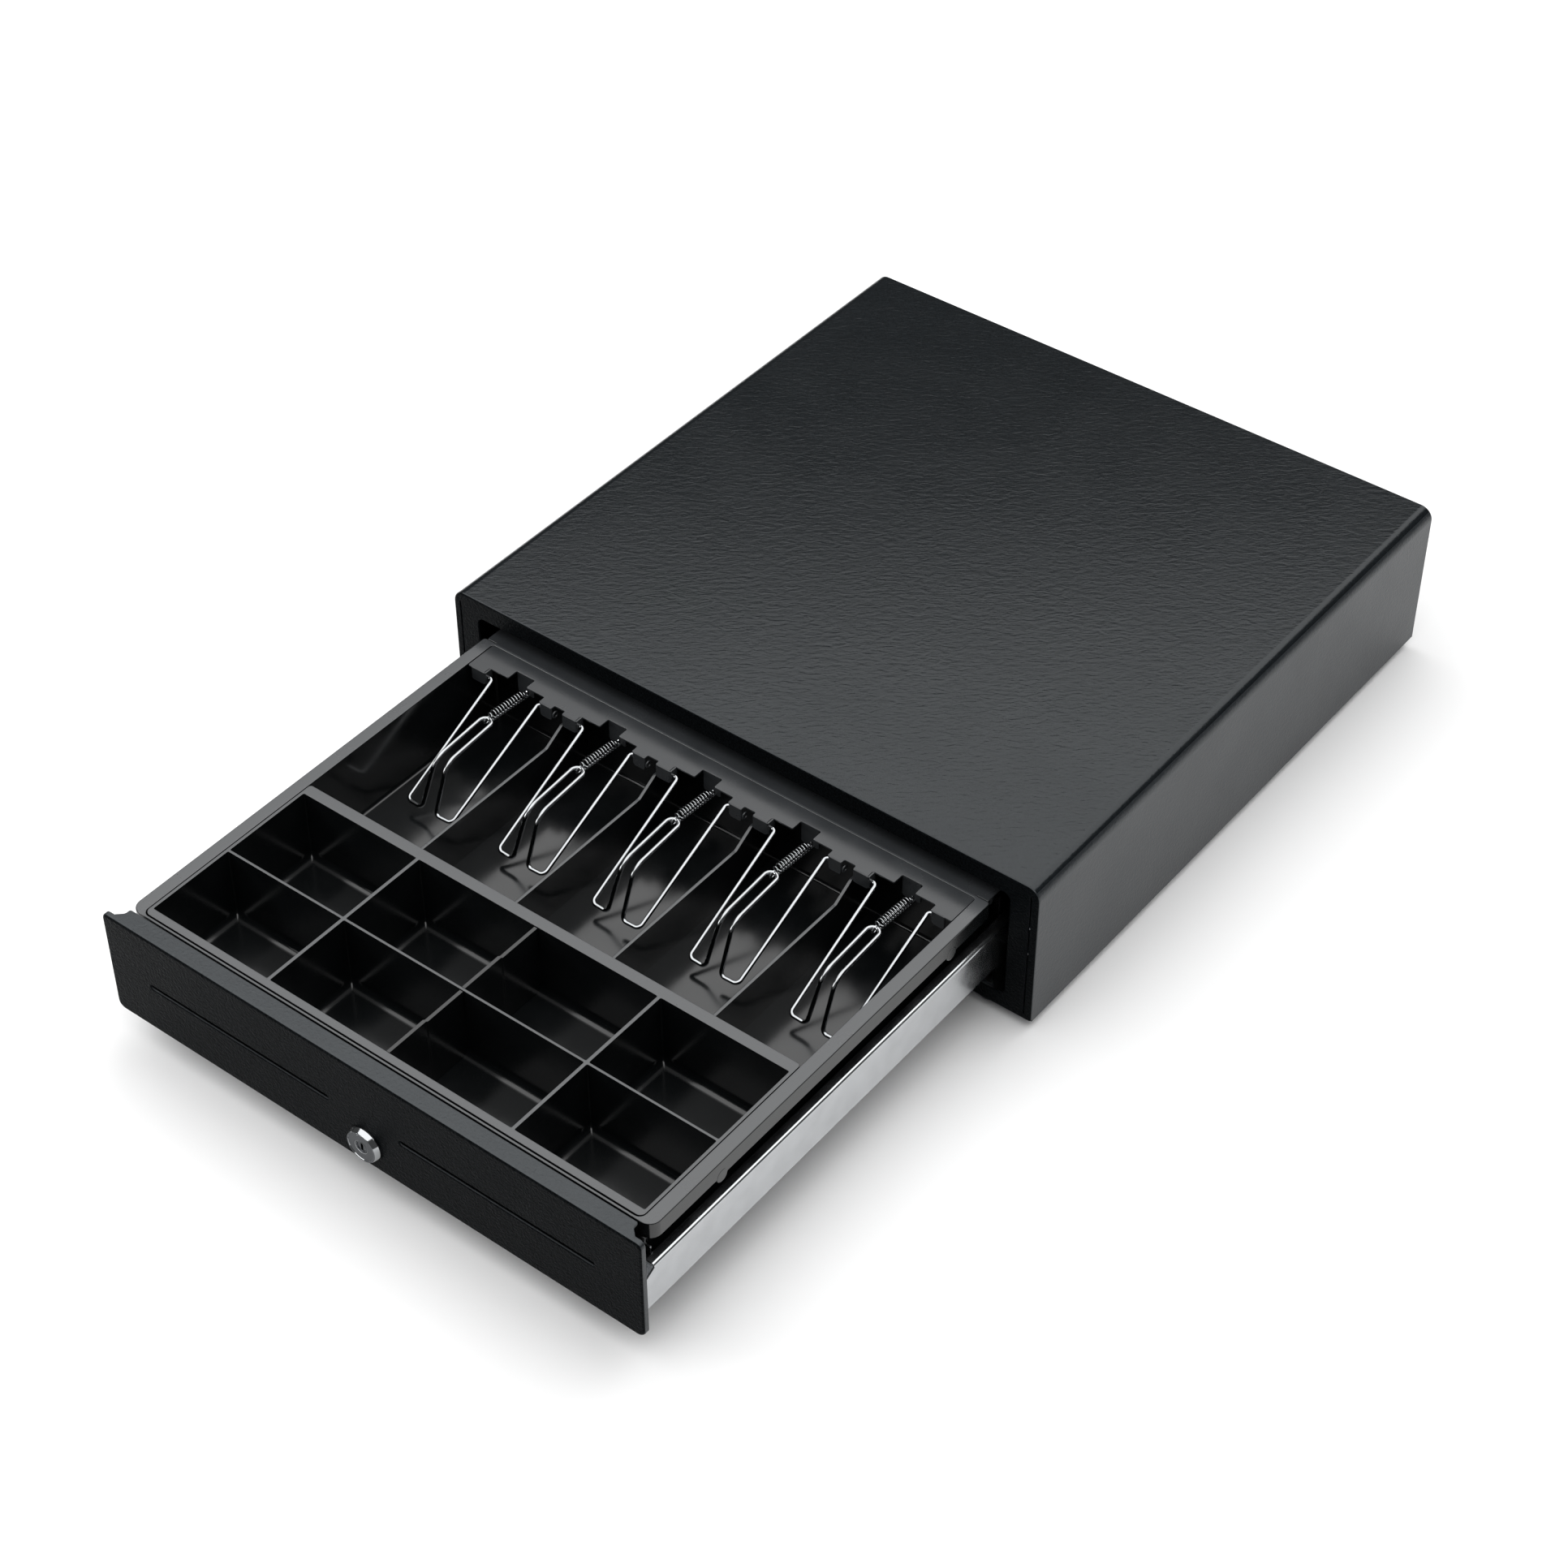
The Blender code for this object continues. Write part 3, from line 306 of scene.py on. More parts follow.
# %% Colours and nodes
def srgb(code):
    """A hex colour as linear light: each channel c becomes ((c + 0.055) / 1.055) to the power 2.4."""
    c = np.array([int(code[i : i + 2], 16) for i in (1, 3, 5)]) / 255
    linear = np.where(c <= 0.04045, c / 12.92, ((c + 0.055) / 1.055) ** 2.4)
    return (*linear.tolist(), 1.0)


def node(tree, kind, inputs=(), out=0, into=None, **settings):
    """Adds one node and gives back its output. Each input is a value, or another node's output."""
    made = tree.nodes.new(kind)
    for key, value in settings.items():
        setattr(made, key, value)
    for key, value in dict(inputs).items():
        if isinstance(value, bpy.types.NodeSocket):
            tree.links.new(value, made.inputs[key])
        else:
            made.inputs[key].default_value = value
    if into:
        tree.links.new(made.outputs[out], into)
    return made.outputs[out]


def new_finish(name, colour, roughness, **sockets):
    """A material with one Principled shader, its tree, and its object coordinates in metres."""
    made = bpy.data.materials.new(name)
    made.use_nodes = True
    tree = made.node_tree
    shader = tree.nodes["Principled BSDF"]
    shader.inputs["Base Color"].default_value = srgb(colour)
    shader.inputs["Roughness"].default_value = roughness
    for key, value in sockets.items():
        shader.inputs[key.replace("_", " ")].default_value = value
    where = node(tree, "ShaderNodeTexCoord", out="Object")
    return made, tree, shader.inputs, where


print("the hex grey #808080 is", round(srgb("#808080")[0], 3), "in linear light")

# %% [markdown]
# Powder coat is dry paint, melted on to the steel in an oven. The textured black kind wrinkles as it
# cures: the flat top shows soft leathery wrinkles a few millimetres long, and the bent and upright faces
# a finer orange peel. Paint is a clear plastic round its pigment, so its IOR is 1.5. The wrinkles are a
# noise stretched along one diagonal, the way the sheet hung in the oven, and the peel is a second, even
# noise on top of it. The drawer's face and the housing's face get a darker copy of the coat, with almost
# no sheen and a deeper peel: painted shade for the dark that these forward-facing faces show.

# %% Textured powder coat
SPRAY_TURN = math.radians(38)
PEEL_MM, PATCH_MM = 1.1, 40


def powder_coat(name, dark, light, rough, wrinkle_mm, long, wrinkle_depth, peel_depth, **sockets):
    """Wrinkles wrinkle_mm wide and long times as long, with a fine peel over them. Depths are in mm."""
    made, tree, shader, where = new_finish(name, dark, rough, IOR=1.5, **sockets)
    size = (wrinkle_mm * long * MM, wrinkle_mm * MM, wrinkle_mm * MM)
    turned = {0: where, "Rotation": (0, 0, SPRAY_TURN), "Scale": size}
    turned = node(tree, "ShaderNodeMapping", turned, vector_type="TEXTURE")
    wrinkle = node(tree, "ShaderNodeTexNoise", {0: turned, "Scale": 1.0, "Detail": 1.5, "Distortion": 0.8})
    peel = node(tree, "ShaderNodeTexNoise", {0: where, "Scale": 1 / (PEEL_MM * MM), "Detail": 2.0})
    patch = node(tree, "ShaderNodeTexNoise", {0: where, "Scale": 1 / (PATCH_MM * MM), "Detail": 2.0})
    raised = node(tree, "ShaderNodeBump", {"Height": wrinkle, "Distance": wrinkle_depth * MM})
    raised = {"Height": peel, "Distance": peel_depth * MM, "Normal": raised}
    node(tree, "ShaderNodeBump", raised, into=shader["Normal"])
    ends = {0: patch, 1: 0.3, 2: 0.7, 3: rough, 4: rough + 0.03}
    node(tree, "ShaderNodeMapRange", ends, into=shader["Roughness"])
    fleck = node(tree, "ShaderNodeMapRange", {0: peel, 1: 0.35, 2: 0.7})
    shades = {0: fleck, 6: srgb(dark), 7: srgb(light)}
    node(tree, "ShaderNodeMix", shades, out=2, into=shader["Base Color"], data_type="RGBA")
    return made


COOL = (0.92, 0.97, 1.0, 1.0)
wrinkled_powder_coat = powder_coat(
    "wrinkled_powder_coat", "#0a0d0f", "#13171a", 0.18, 2.6, 2.6, 0.10, 0.008,
    Specular_Tint=COOL, Specular_IOR_Level=0.36)
fine_powder_coat = powder_coat(
    "fine_powder_coat", "#101316", "#1a1e21", 0.38, 1.8, 1.0, 0.18, 0.05,
    Specular_Tint=COOL, Specular_IOR_Level=0.6)
# A darker copy of the same black coat with almost no sheen: painted shade for the forward-facing faces.
painted_shade_powder_coat = powder_coat(
    "painted_shade_powder_coat", "#040506", "#101315", 0.36, 1.5, 1.0, 0.60, 0.14,
    Specular_Tint=COOL, Specular_IOR_Level=0.02)
print("powder coats:", wrinkled_powder_coat.name, fine_powder_coat.name, painted_shade_powder_coat.name)

# %% [markdown]
# The till is injection-moulded ABS, an opaque black plastic. Its wells were polished in the mould, so
# they are glossy, while the rims that hands rub are satin; the satin copy is also a lighter grey, a painted
# sheen for the overhead light that the upward rims catch. Rubber is matt and slightly uneven, and nylon
# is waxy and off-white. One function serves all of them: a cloud of handling marks for the gloss, and a
# very fine bump. The winding's tape and the clip bracket's stove enamel are smooth films of the same kind.

# %% Moulded plastic and rubber
def moulded(name, dark, light, low_rough, high_rough, depth, cloud_mm=25.0, **sockets):
    """Roughness drifts from low_rough to high_rough in clouds, and the colour with it."""
    made, tree, shader, where = new_finish(name, dark, low_rough, **sockets)
    cloud = node(tree, "ShaderNodeTexNoise", {0: where, "Scale": 1 / (cloud_mm * MM), "Detail": 4.0})
    fine = node(tree, "ShaderNodeTexNoise", {0: where, "Scale": 1 / (0.8 * MM), "Detail": 2.0})
    ends = {0: cloud, 1: 0.35, 2: 0.65, 3: low_rough, 4: high_rough}
    node(tree, "ShaderNodeMapRange", ends, into=shader["Roughness"])
    raised = {"Height": fine, "Distance": depth * MM, "Strength": 0.5}
    node(tree, "ShaderNodeBump", raised, into=shader["Normal"])
    drift = node(tree, "ShaderNodeMapRange", {0: cloud, 1: 0.3, 2: 0.7})
    shades = {0: drift, 6: srgb(dark), 7: srgb(light)}
    node(tree, "ShaderNodeMix", shades, out=2, into=shader["Base Color"], data_type="RGBA")
    return made


polished_abs = moulded("polished_abs", "#0a0c0d", "#0f1112", 0.14, 0.20, 0.002, IOR=1.54)
# Lighter grey than the polished copy: real satin gloss, with a painted sheen in its colour.
satin_abs_painted_sheen = moulded("satin_abs_painted_sheen", "#3a3c3e", "#404244", 0.27, 0.32, 0.004, IOR=1.54, Specular_IOR_Level=0.65)
moulded_rubber = moulded("moulded_rubber", "#0e0e0f", "#161617", 0.70, 0.85, 0.05, IOR=1.52)
moulded_nylon = moulded("moulded_nylon", "#d3d2c9", "#dedcd4", 0.38, 0.48, 0.01, IOR=1.53)
winding_tape = moulded("winding_tape", "#7d2417", "#8f2e1f", 0.35, 0.50, 0.02, 6.0, IOR=1.5)
stove_enamel = moulded("stove_enamel", "#2c2e30", "#323436", 0.22, 0.28, 0.008, IOR=1.5)
for made in (polished_abs, satin_abs_painted_sheen, moulded_rubber, moulded_nylon, winding_tape, stove_enamel):
    print(made.name, "has", len(made.node_tree.nodes), "nodes")

# %% [markdown]
# The pan is zinc-plated sheet, bright and faintly cloudy, with rolling lines along its length. The clips
# are hard steel wire with bright nickel and chrome on it, nearly a mirror. The lock's face was brushed
# before it was plated, and its dark base colour is painted shade. Metal has no colour under its
# reflection, so Metallic is 1, the IOR stays at its default, and the base colour is how much light it
# sends back.

# %% Metals
def plated(name, dull, bright, low_rough, high_rough, line_mm, long, depth):
    """Lines line_mm apart and long times as long along Y, under clouds in the gloss and the colour."""
    made, tree, shader, where = new_finish(name, dull, low_rough, Metallic=1.0)
    size = (line_mm * MM, line_mm * long * MM, line_mm * MM)
    along = node(tree, "ShaderNodeMapping", {0: where, "Scale": size}, vector_type="TEXTURE")
    lines = node(tree, "ShaderNodeTexNoise", {0: along, "Scale": 1.0, "Detail": 3.0})
    cloud = node(tree, "ShaderNodeTexNoise", {0: where, "Scale": 1 / (12 * MM), "Detail": 3.0})
    ends = {0: cloud, 1: 0.35, 2: 0.65, 3: low_rough, 4: high_rough}
    node(tree, "ShaderNodeMapRange", ends, into=shader["Roughness"])
    raised = {"Height": lines, "Distance": depth * MM, "Strength": 0.6}
    node(tree, "ShaderNodeBump", raised, into=shader["Normal"])
    drift = node(tree, "ShaderNodeMapRange", {0: cloud, 1: 0.3, 2: 0.7})
    shades = {0: drift, 6: srgb(dull), 7: srgb(bright)}
    node(tree, "ShaderNodeMix", shades, out=2, into=shader["Base Color"], data_type="RGBA")
    return made


zinc_plate = plated("zinc_plate", "#b8babc", "#c2c4c6", 0.19, 0.24, 0.6, 30.0, 0.0008)
bright_chrome = plated("bright_chrome", "#a6a8aa", "#aeb0b2", 0.06, 0.10, 2.0, 1.0, 0.001)
# The brushed chrome's dark base colour is painted shade, over a real brushed grain.
brushed_chrome_painted_shade = plated("brushed_chrome_painted_shade", "#424447", "#4c4e51", 0.22, 0.30, 0.6, 1.0, 0.006)
spring_steel = plated("spring_steel", "#a0a2a4", "#acaeb0", 0.14, 0.20, 1.0, 1.0, 0.002)
print("metals:", zinc_plate.name, bright_chrome.name, brushed_chrome_painted_shade.name, spring_steel.name)

# %% [markdown]
# Pieces that keep the frame's own shape, such as the rails, rollers, latch and screws, only need a
# finish. The record names a material slot for every node, and each slot has one of the finishes above.

# %% Finishes for the pieces that keep their shape
CARRIED_OVER = {
    "black_powder_coat": fine_powder_coat,
    "zinc_plated_steel": zinc_plate,
    "bright_steel": spring_steel,
    "chrome_wire": bright_chrome,
    # The brushed chrome's dark colour is painted shade.
    "satin_chrome": brushed_chrome_painted_shade,
    "black_rubber": moulded_rubber,
    "white_nylon": moulded_nylon,
    # The satin plastic's grey holds a painted sheen.
    "black_plastic": satin_abs_painted_sheen,
    "coil_tape": winding_tape,
    "black_abs": polished_abs,
    "grey_painted_steel": stove_enamel,
}
slot_of = {entry["node"]: entry["material_slot"] for entry in frame["record"]["subparts"]}
for name, cad in frame["nodes"].items():
    for number in range(len(cad.material_slots)):
        cad.material_slots[number].material = CARRIED_OVER[slot_of[name]]
print("every carried-over node has one of", len(set(CARRIED_OVER.values())), "finishes")

# %% [markdown]
# ## The housing's cover
#
# One steel sheet is bent over the top and down both sides, and its front edge is folded down into the
# face round the drawer's opening. Here the face is a flat plate cut into three rectangles, each with one
# hole: two narrow relief slots and the opening between them. A ring of faces joins each rectangle to its
# hole, which then turns in over a rounded edge.

# %% A plate with rounded holes
def hole_rings(tile, hole, edge, axis, top, down, bottom=None, steps=4):
    """Joins a rectangle to a rounded hole in it, and carries the hole's edge into the plate.

    tile and hole are outlines with the same number of points. The first ring lies on the tile, and the
    next on the hole grown by edge * (1 - sin t), which sinks by edge * (1 - cos t) as t goes from 0 to 90
    degrees. down is the way into the plate, 1 or -1, and bottom is where the hole's wall ends.
    """
    t = np.linspace(0, math.pi / 2, steps + 1)
    wider, sunk = edge * (1 - np.sin(t)), edge * (1 - np.cos(t)) * down
    rings = [place(tile, axis, top)]
    rings += [place(shrunk(hole, -w), axis, top + s) for w, s in zip(wider, sunk)]
    if bottom is not None:
        rings.append(place(hole, axis, bottom))
    return rings


def tile_outline(x0, x1, y0, y1, steps, x_stop=None, y_stop=None):
    """A rectangle with every corner repeated, to match a rounded rectangle point for point.

    Where smaller tiles meet it, at -x_stop and x_stop along the level edges or at y_stop along the
    upright ones, the nearest repeated corner moves there, so that no tile ends part-way along an edge.
    """
    corners = np.array([(x0, y0), (x1, y0), (x1, y1), (x0, y1)], float)
    points = np.repeat(corners, steps + 1, 0)
    last = np.arange(1, 5) * (steps + 1) - 1
    first = last - steps
    if x_stop is not None:
        points[[last[0], first[3]], 0] = -x_stop
        points[[first[1], last[2]], 0] = x_stop
    if y_stop is not None:
        points[[last[1], last[3]], 1] = y_stop
    return points


sample = hole_rings(tile_outline(0, 20, 0, 20, 4), rounded_rect(5, 15, 5, 15, 2, 4), 0.5, "z", 0, 1, 1.2)
print("a tile with one hole is", len(sample), "rings of", len(sample[0]), "points")

# %% [markdown]
# The cover's outside has three finishes: fine coat on the bends and sides, wrinkled coat on the top, and
# a darker copy with almost no sheen on the face, as painted shade. Each goes on by the way the faces look,
# so no seam has to be drawn.

# %% The cover
WIDTH, DEPTH, HEIGHT = (cover_high - cover_low) / MM
SHEET = 1.2
BEND = 8.0
HALF = WIDTH / 2
OPENING = (-187.0, 187.0, 10.0, 85.5)
RELIEF_X, RELIEF_HALF, RELIEF_Z = 200.0, 0.5, (4.0, 91.4)
TILE_STOP, TILE_HALF, TILE_TOP = 198.0, 201.6, 94.0


def housing_cover():
    """The wrapped sheet is an arch outline carried from front to back. The face is a rounded rectangle
    whose edge turns back to meet the sheet, cut into three tiles with a hole in each."""
    shape = Shape()
    outer = round_path([(-HALF, 0), (-HALF, HEIGHT), (HALF, HEIGHT), (HALF, 0)], BEND, 10, closed=False)
    half, top = HALF - SHEET, HEIGHT - SHEET
    inner = round_path([(-half, 0), (-half, top), (half, top), (half, 0)], BEND - SHEET, 10, closed=False)
    section = np.vstack([outer, inner[::-1]])
    along = (SHEET, 60, 140, 220, 300, DEPTH - 0.3, DEPTH)
    shape.rings([place(section, "y", y) for y in along], True, True)

    fold, steps = 1.2, 6
    edge_line = rounded_rect(-HALF, HALF, 0, HEIGHT, (1.5, 1.5, BEND, BEND), steps)
    t = np.linspace(0, math.pi / 2, 6)
    low = 0.9 + fold
    frame_tile = tile_outline(-TILE_HALF, TILE_HALF, low, TILE_TOP, steps, TILE_STOP)
    rings = [place(edge_line, "y", SHEET)]
    rings += [place(shrunk(edge_line, fold * (1 - math.cos(a))), "y", fold * (1 - math.sin(a))) for a in t]
    rings += [place(frame_tile, "y", 0)]
    shape.rings(rings[::-1])
    shape.rings([place(edge_line, "y", SHEET), place(frame_tile, "y", SHEET)][::-1])

    left = (-RELIEF_X - RELIEF_HALF, -RELIEF_X + RELIEF_HALF, *RELIEF_Z)
    right = (RELIEF_X - RELIEF_HALF, RELIEF_X + RELIEF_HALF, *RELIEF_Z)
    holes = [((-TILE_HALF, -TILE_STOP), left, 0.45, 0.2), ((-TILE_STOP, TILE_STOP), OPENING, 4.5, 0.5),
             ((TILE_STOP, TILE_HALF), right, 0.45, 0.2)]
    for across, hole, radius, edge in holes:
        flat = tile_outline(*across, low, TILE_TOP, steps)
        rings = hole_rings(flat, rounded_rect(*hole, radius, steps), edge, "y", 0.0, 1.0, SHEET)
        rings.append(place(flat, "y", SHEET))
        shape.rings(rings)
    return shape


cover = finished(housing_cover(), "housing_cover_skin", "housing", fine_powder_coat,
                 ["housing_cover"])
also_finished(cover, wrinkled_powder_coat, (0, 0, 1))
# The faces that look forward get the darker copy of the coat: painted shade.
also_finished(cover, painted_shade_powder_coat, (0, -1, 0), 0.5)

# %% [markdown]
# ## The drawer front
#
# The front is a steel plate with its edges folded back all round, a wide flange along the top, two slots
# for cheques and large notes, and the lock's hole. It is built like the cover's face: a rounded
# rectangle for the folded edge, and three tiles for the three holes.

# %% The drawer front
front_low, front_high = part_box("drawer_front")
FRONT = (front_low.y - ORIGIN[1]) / MM
FRONT_X = front_high.x / MM
FRONT_Z = ((front_low.z - ORIGIN[2]) / MM, (front_high.z - ORIGIN[2]) / MM)
LOCK_Z = 29.3
LOCK_HOLE = 9.6
SLOT_X, SLOT_Z = (24.3, 152.8), (44.9, 48.1)
FACE_HALF = 176.0


def drawer_front():
    """Rings go from the folded edge's back, round the fold and over the face to the tiles, into each
    hole, and back along the inside. The flange is an outline carried through the sheet's thickness."""
    shape = Shape()
    steps, fold, lock_half = 8, 1.6, 15.0
    back, inside, low, high = FRONT + 3.7, FRONT + SHEET, FRONT_Z[0] + 6, FRONT_Z[1] - 5
    edge_line = rounded_rect(-FRONT_X, FRONT_X, *FRONT_Z, (5, 5, 3.6, 3.6), steps)
    tiles = tile_outline(-FACE_HALF, FACE_HALF, low, high, steps, lock_half)
    turn = np.linspace(0, math.pi / 2, 7)
    lip = [(SHEET, inside), (SHEET, back - 0.2), (SHEET - 0.2, back), (0.2, back), (0.0, back - 0.2)]
    lip += [(fold * (1 - math.cos(t)), FRONT + fold * (1 - math.sin(t))) for t in turn]
    rings = [place(shrunk(edge_line, drawn), "y", y) for drawn, y in lip]
    shape.rings([place(tiles, "y", inside), *rings, place(tiles, "y", FRONT)][::-1])

    (near, far), lock = SLOT_X, (-LOCK_HOLE, LOCK_HOLE, LOCK_Z - LOCK_HOLE, LOCK_Z + LOCK_HOLE)
    holes = [((-FACE_HALF, -lock_half), (-far, -near, *SLOT_Z), 1.58, 0.7),
             ((-lock_half, lock_half), lock, LOCK_HOLE - 0.02, 0.3),
             ((lock_half, FACE_HALF), (near, far, *SLOT_Z), 1.58, 0.7)]
    for across, hole, radius, edge in holes:
        flat = tile_outline(*across, low, high, steps)
        rings = hole_rings(flat, rounded_rect(*hole, radius, steps), edge, "y", FRONT, 1.0, inside)
        rings.append(place(flat, "y", inside))
        shape.rings(rings)

    top, wide, near, far = FRONT_Z[1], 172.9, FRONT + 3.4, FRONT + 11.2
    flange = [(-wide - 4.5, near), (wide + 4.5, near), (wide, near + 4.2),
              (wide, far), (-wide, far), (-wide, near + 4.2)]
    flange = round_path(flange, (0.3, 0.3, 3.0, 1.2, 1.2, 3.0), 6)
    shape.solid(flange, "z", top - SHEET, top - 0.02, 0.25)
    return shape


front = finished(drawer_front(), "drawer_front_skin", "drawer", fine_powder_coat,
                 ["drawer_front"])
# The faces that look forward get the darker copy of the coat: painted shade.
also_finished(front, painted_shade_powder_coat, (0, -1, 0), 0.5)

# %% [markdown]
# ## The pan
#
# The drawer's pan is zinc-plated sheet. Each side is folded up, out and down again, which makes a stiff
# hollow rail; the outer bend catches the light in one bright line. The bend is a polyline given
# thickness: the line shifted to one side, and back along the other. The pan's floor and its faces that
# look forward take the dark coat instead of zinc, as painted shade, so that nothing bright shows
# through the slots in the drawer front.

# %% The pan
def sheet_section(line, radius, thickness):
    """A folded sheet's section. The line is rounded, then shifted half a thickness each way."""
    middle = round_path(line, radius, 6, closed=False)
    along = unit(np.gradient(middle, axis=0))
    square = np.stack([-along[:, 1], along[:, 0]], -1) * thickness / 2
    return np.vstack([middle + square, (middle - square)[::-1]])


WALL_X, SKIRT_X, SKIRT_LOW = 175.7, 181.5, 29.3
PAN_Z, PAN_BACK = (26.5, 57.0), 95.0


def drawer_pan():
    """Each side is its folded section carried from front to back. Flat plates close the bottom, the
    front wall and the two tabs that hold the drawer front."""
    shape = Shape()
    t, (low, high), behind_front, rail_start = 1.0, PAN_Z, FRONT + 1.6, FRONT + 11.7
    for sign in (-1, 1):
        wall, skirt = WALL_X - t / 2, SKIRT_X - t / 2
        line = [(sign * 158.0, low + t / 2), (sign * wall, low + t / 2), (sign * wall, high - t / 2),
                (sign * skirt, high - t / 2), (sign * skirt, SKIRT_LOW)]
        shape.solid(sheet_section(line, (0, 1.2, 1.0, 1.6, 0), t), "y", rail_start, PAN_BACK, 0.1, 1)
        ear = [(behind_front, SKIRT_LOW), (FRONT + 11.8, SKIRT_LOW), (FRONT + 11.8, 55.2),
               (FRONT + 9.0, 53.6), (behind_front, 49.4)]
        shape.solid(round_path(ear, 0.3, 2), "x", sign * (SKIRT_X - t), sign * SKIRT_X, 0.1, 1)
        inner = [(behind_front, low), (FRONT + 11.8, low), (FRONT + 11.8, high), (behind_front, high - 2)]
        shape.solid(round_path(inner, 0.3, 2), "x", sign * (WALL_X - t), sign * WALL_X, 0.1, 1)
        tab = rounded_rect(*sorted((sign * 160.0, sign * 174.6)), 30, 55, 1.0, 2)
        shape.solid(tab, "y", FRONT + 1.5, FRONT + 2.5, 0.1, 1)
    shape.solid(rounded_rect(-159, 159, behind_front, 12, 1.0, 2), "z", low, low + t, 0.1, 1)
    front_wall = rounded_rect(-174.4, 174.4, low + 0.6, 60, 1.0, 2)
    shape.solid(front_wall, "y", FRONT + 17.1, FRONT + 18.1, 0.1, 1)
    return shape


pan = finished(drawer_pan(), "drawer_pan_skin", "drawer", zinc_plate, ["drawer_pan"])
# Painted shade: faces that look forward and upward faces below 40 mm take the dark coat; upward faces above
# 40 mm stay zinc.
also_finished(pan, painted_shade_powder_coat, (0, -1, 0))
also_finished(pan, painted_shade_powder_coat, (0, 0, 1))
also_finished(pan, zinc_plate, (0, 0, 1), above=40)

# %% [markdown]
# ## The till
#
# A moulded tray drops into the pan: a wide rim with a skirt round the outside, one deep well, and thin
# partitions between the note bays. The tray is a single stack of rounded rectangles, from under the
# skirt, over the rim and down to the floor, then back up the outside of the well.

# %% The till tray
RIM_Z, FLOOR_Z, SKIRT_Z = 78.4, 29.5, 68.0
RIM_X, INNER_X, LUG_R = 178.0, 169.9, 4.3
PITCH = 68.1
MIDDLES = [(i - 2) * PITCH for i in range(5)]


def stack(levels, steps=6):
    """Rounded rectangles (x0, x1, y0, y1, radius or radii, height) as rings."""
    return [place(rounded_rect(x0, x1, y0, y1, r, steps), "z", z) for x0, x1, y0, y1, r, z in levels]


def grown(box, by, z, radii):
    """A level of a stack: the box (x0, x1, y0, y1) grown by a distance, at a height."""
    x0, x1, y0, y1 = box
    return (x0 - by, x1 + by, y0 - by, y1 + by, np.maximum(np.asarray(radii, float) + by, 0.3), z)


def quarter(low, high, radius, steps=4):
    """(inset, height) pairs of a quarter circle from the side up to the top of a rounded edge."""
    t = np.linspace(0, math.pi / 2, steps + 1)
    return [(radius * (1 - math.cos(a)), high - radius * (1 - math.sin(a))) for a in t]


def till_tray():
    """One stack of rounded rectangles for the tray, a plate for each partition, and four round lugs."""
    shape = Shape()
    rim, well = (-RIM_X, RIM_X, -285.2, -4.8), (-INNER_X, INNER_X, -283.6, -6.8)
    rim_r, well_r = (7, 7, 2, 2), (4, 4, 2, 2)
    wall, under, lip, fillet = 1.8, RIM_Z - 2.2, 0.4, 2.0
    levels = [grown(well, by, z, well_r) for by, z in ((1.2, 27.8), (1.6, 40.0), (1.2, under))]
    levels += [grown(rim, by, z, rim_r) for by, z in ((-wall, under), (-wall, SKIRT_Z), (0, SKIRT_Z))]
    levels += [grown(rim, -inset, z, rim_r) for inset, z in quarter(SKIRT_Z, RIM_Z, 0.8)]
    levels += [grown(well, lip * (1 - math.sin(t)), RIM_Z - lip * (1 - math.cos(t)), well_r)
               for t in np.linspace(0, math.pi / 2, 4)]
    levels += [grown(well, -fillet * (1 - math.cos(t)), FLOOR_Z + fillet * (1 - math.sin(t)), well_r)
               for t in np.linspace(0, math.pi / 2, 5)]
    shape.rings(stack(levels), True, True)

    low, crest, sill, start_y, back_y = FLOOR_Z - 0.8, 67.0, 58.8, -157.0, -6.6
    outline = [(start_y, low), (back_y, low), (back_y, crest),
               (-26.0, crest), (-39.9, sill), (start_y, sill)]
    outline = round_path(outline, (0.8, 0.8, 0.8, 2.0, 3.0, 1.2), 5)
    for left, right in zip(MIDDLES, MIDDLES[1:]):
        x = (left + right) / 2
        shape.solid(outline, "x", x - 1.1, x + 1.1, 0.5)

    t = np.linspace(0, 2 * math.pi, 32, endpoint=False)
    for y in (-39.4, -231.6):
        disc = np.stack([y + LUG_R * np.cos(t), SKIRT_Z + LUG_R * np.sin(t)], -1)
        for sign in (-1, 1):
            shape.solid(disc, "x", sign * (RIM_X - 1.9), sign * (RIM_X + 0.15), 0.7)
    return shape


till = finished(till_tray(), "till_tray_moulding", "drawer", polished_abs, ["till_tray"])
# Upward faces above 55 mm take the satin copy: satin gloss, with a painted sheen in its lighter grey.
also_finished(till, satin_abs_painted_sheen, (0, 0, 1), above=55)

# %% [markdown]
# The coin insert is one thin moulding with six wells side by side. Each well starts as a rectangle of the
# flat top, and the rectangles meet edge to edge. The skin is drawn once and given its wall by a Solidify
# modifier, as a moulding has about the same thickness everywhere.

# %% The coin insert and its loose dividers
CUP_ROWS = ((-278.0, -222.9), (-221.3, -164.8))
CUP_SPANS = ((-167.6, -84.6), (-82.4, 82.4), (84.6, 167.6))
CUP_FLOOR = 32.0


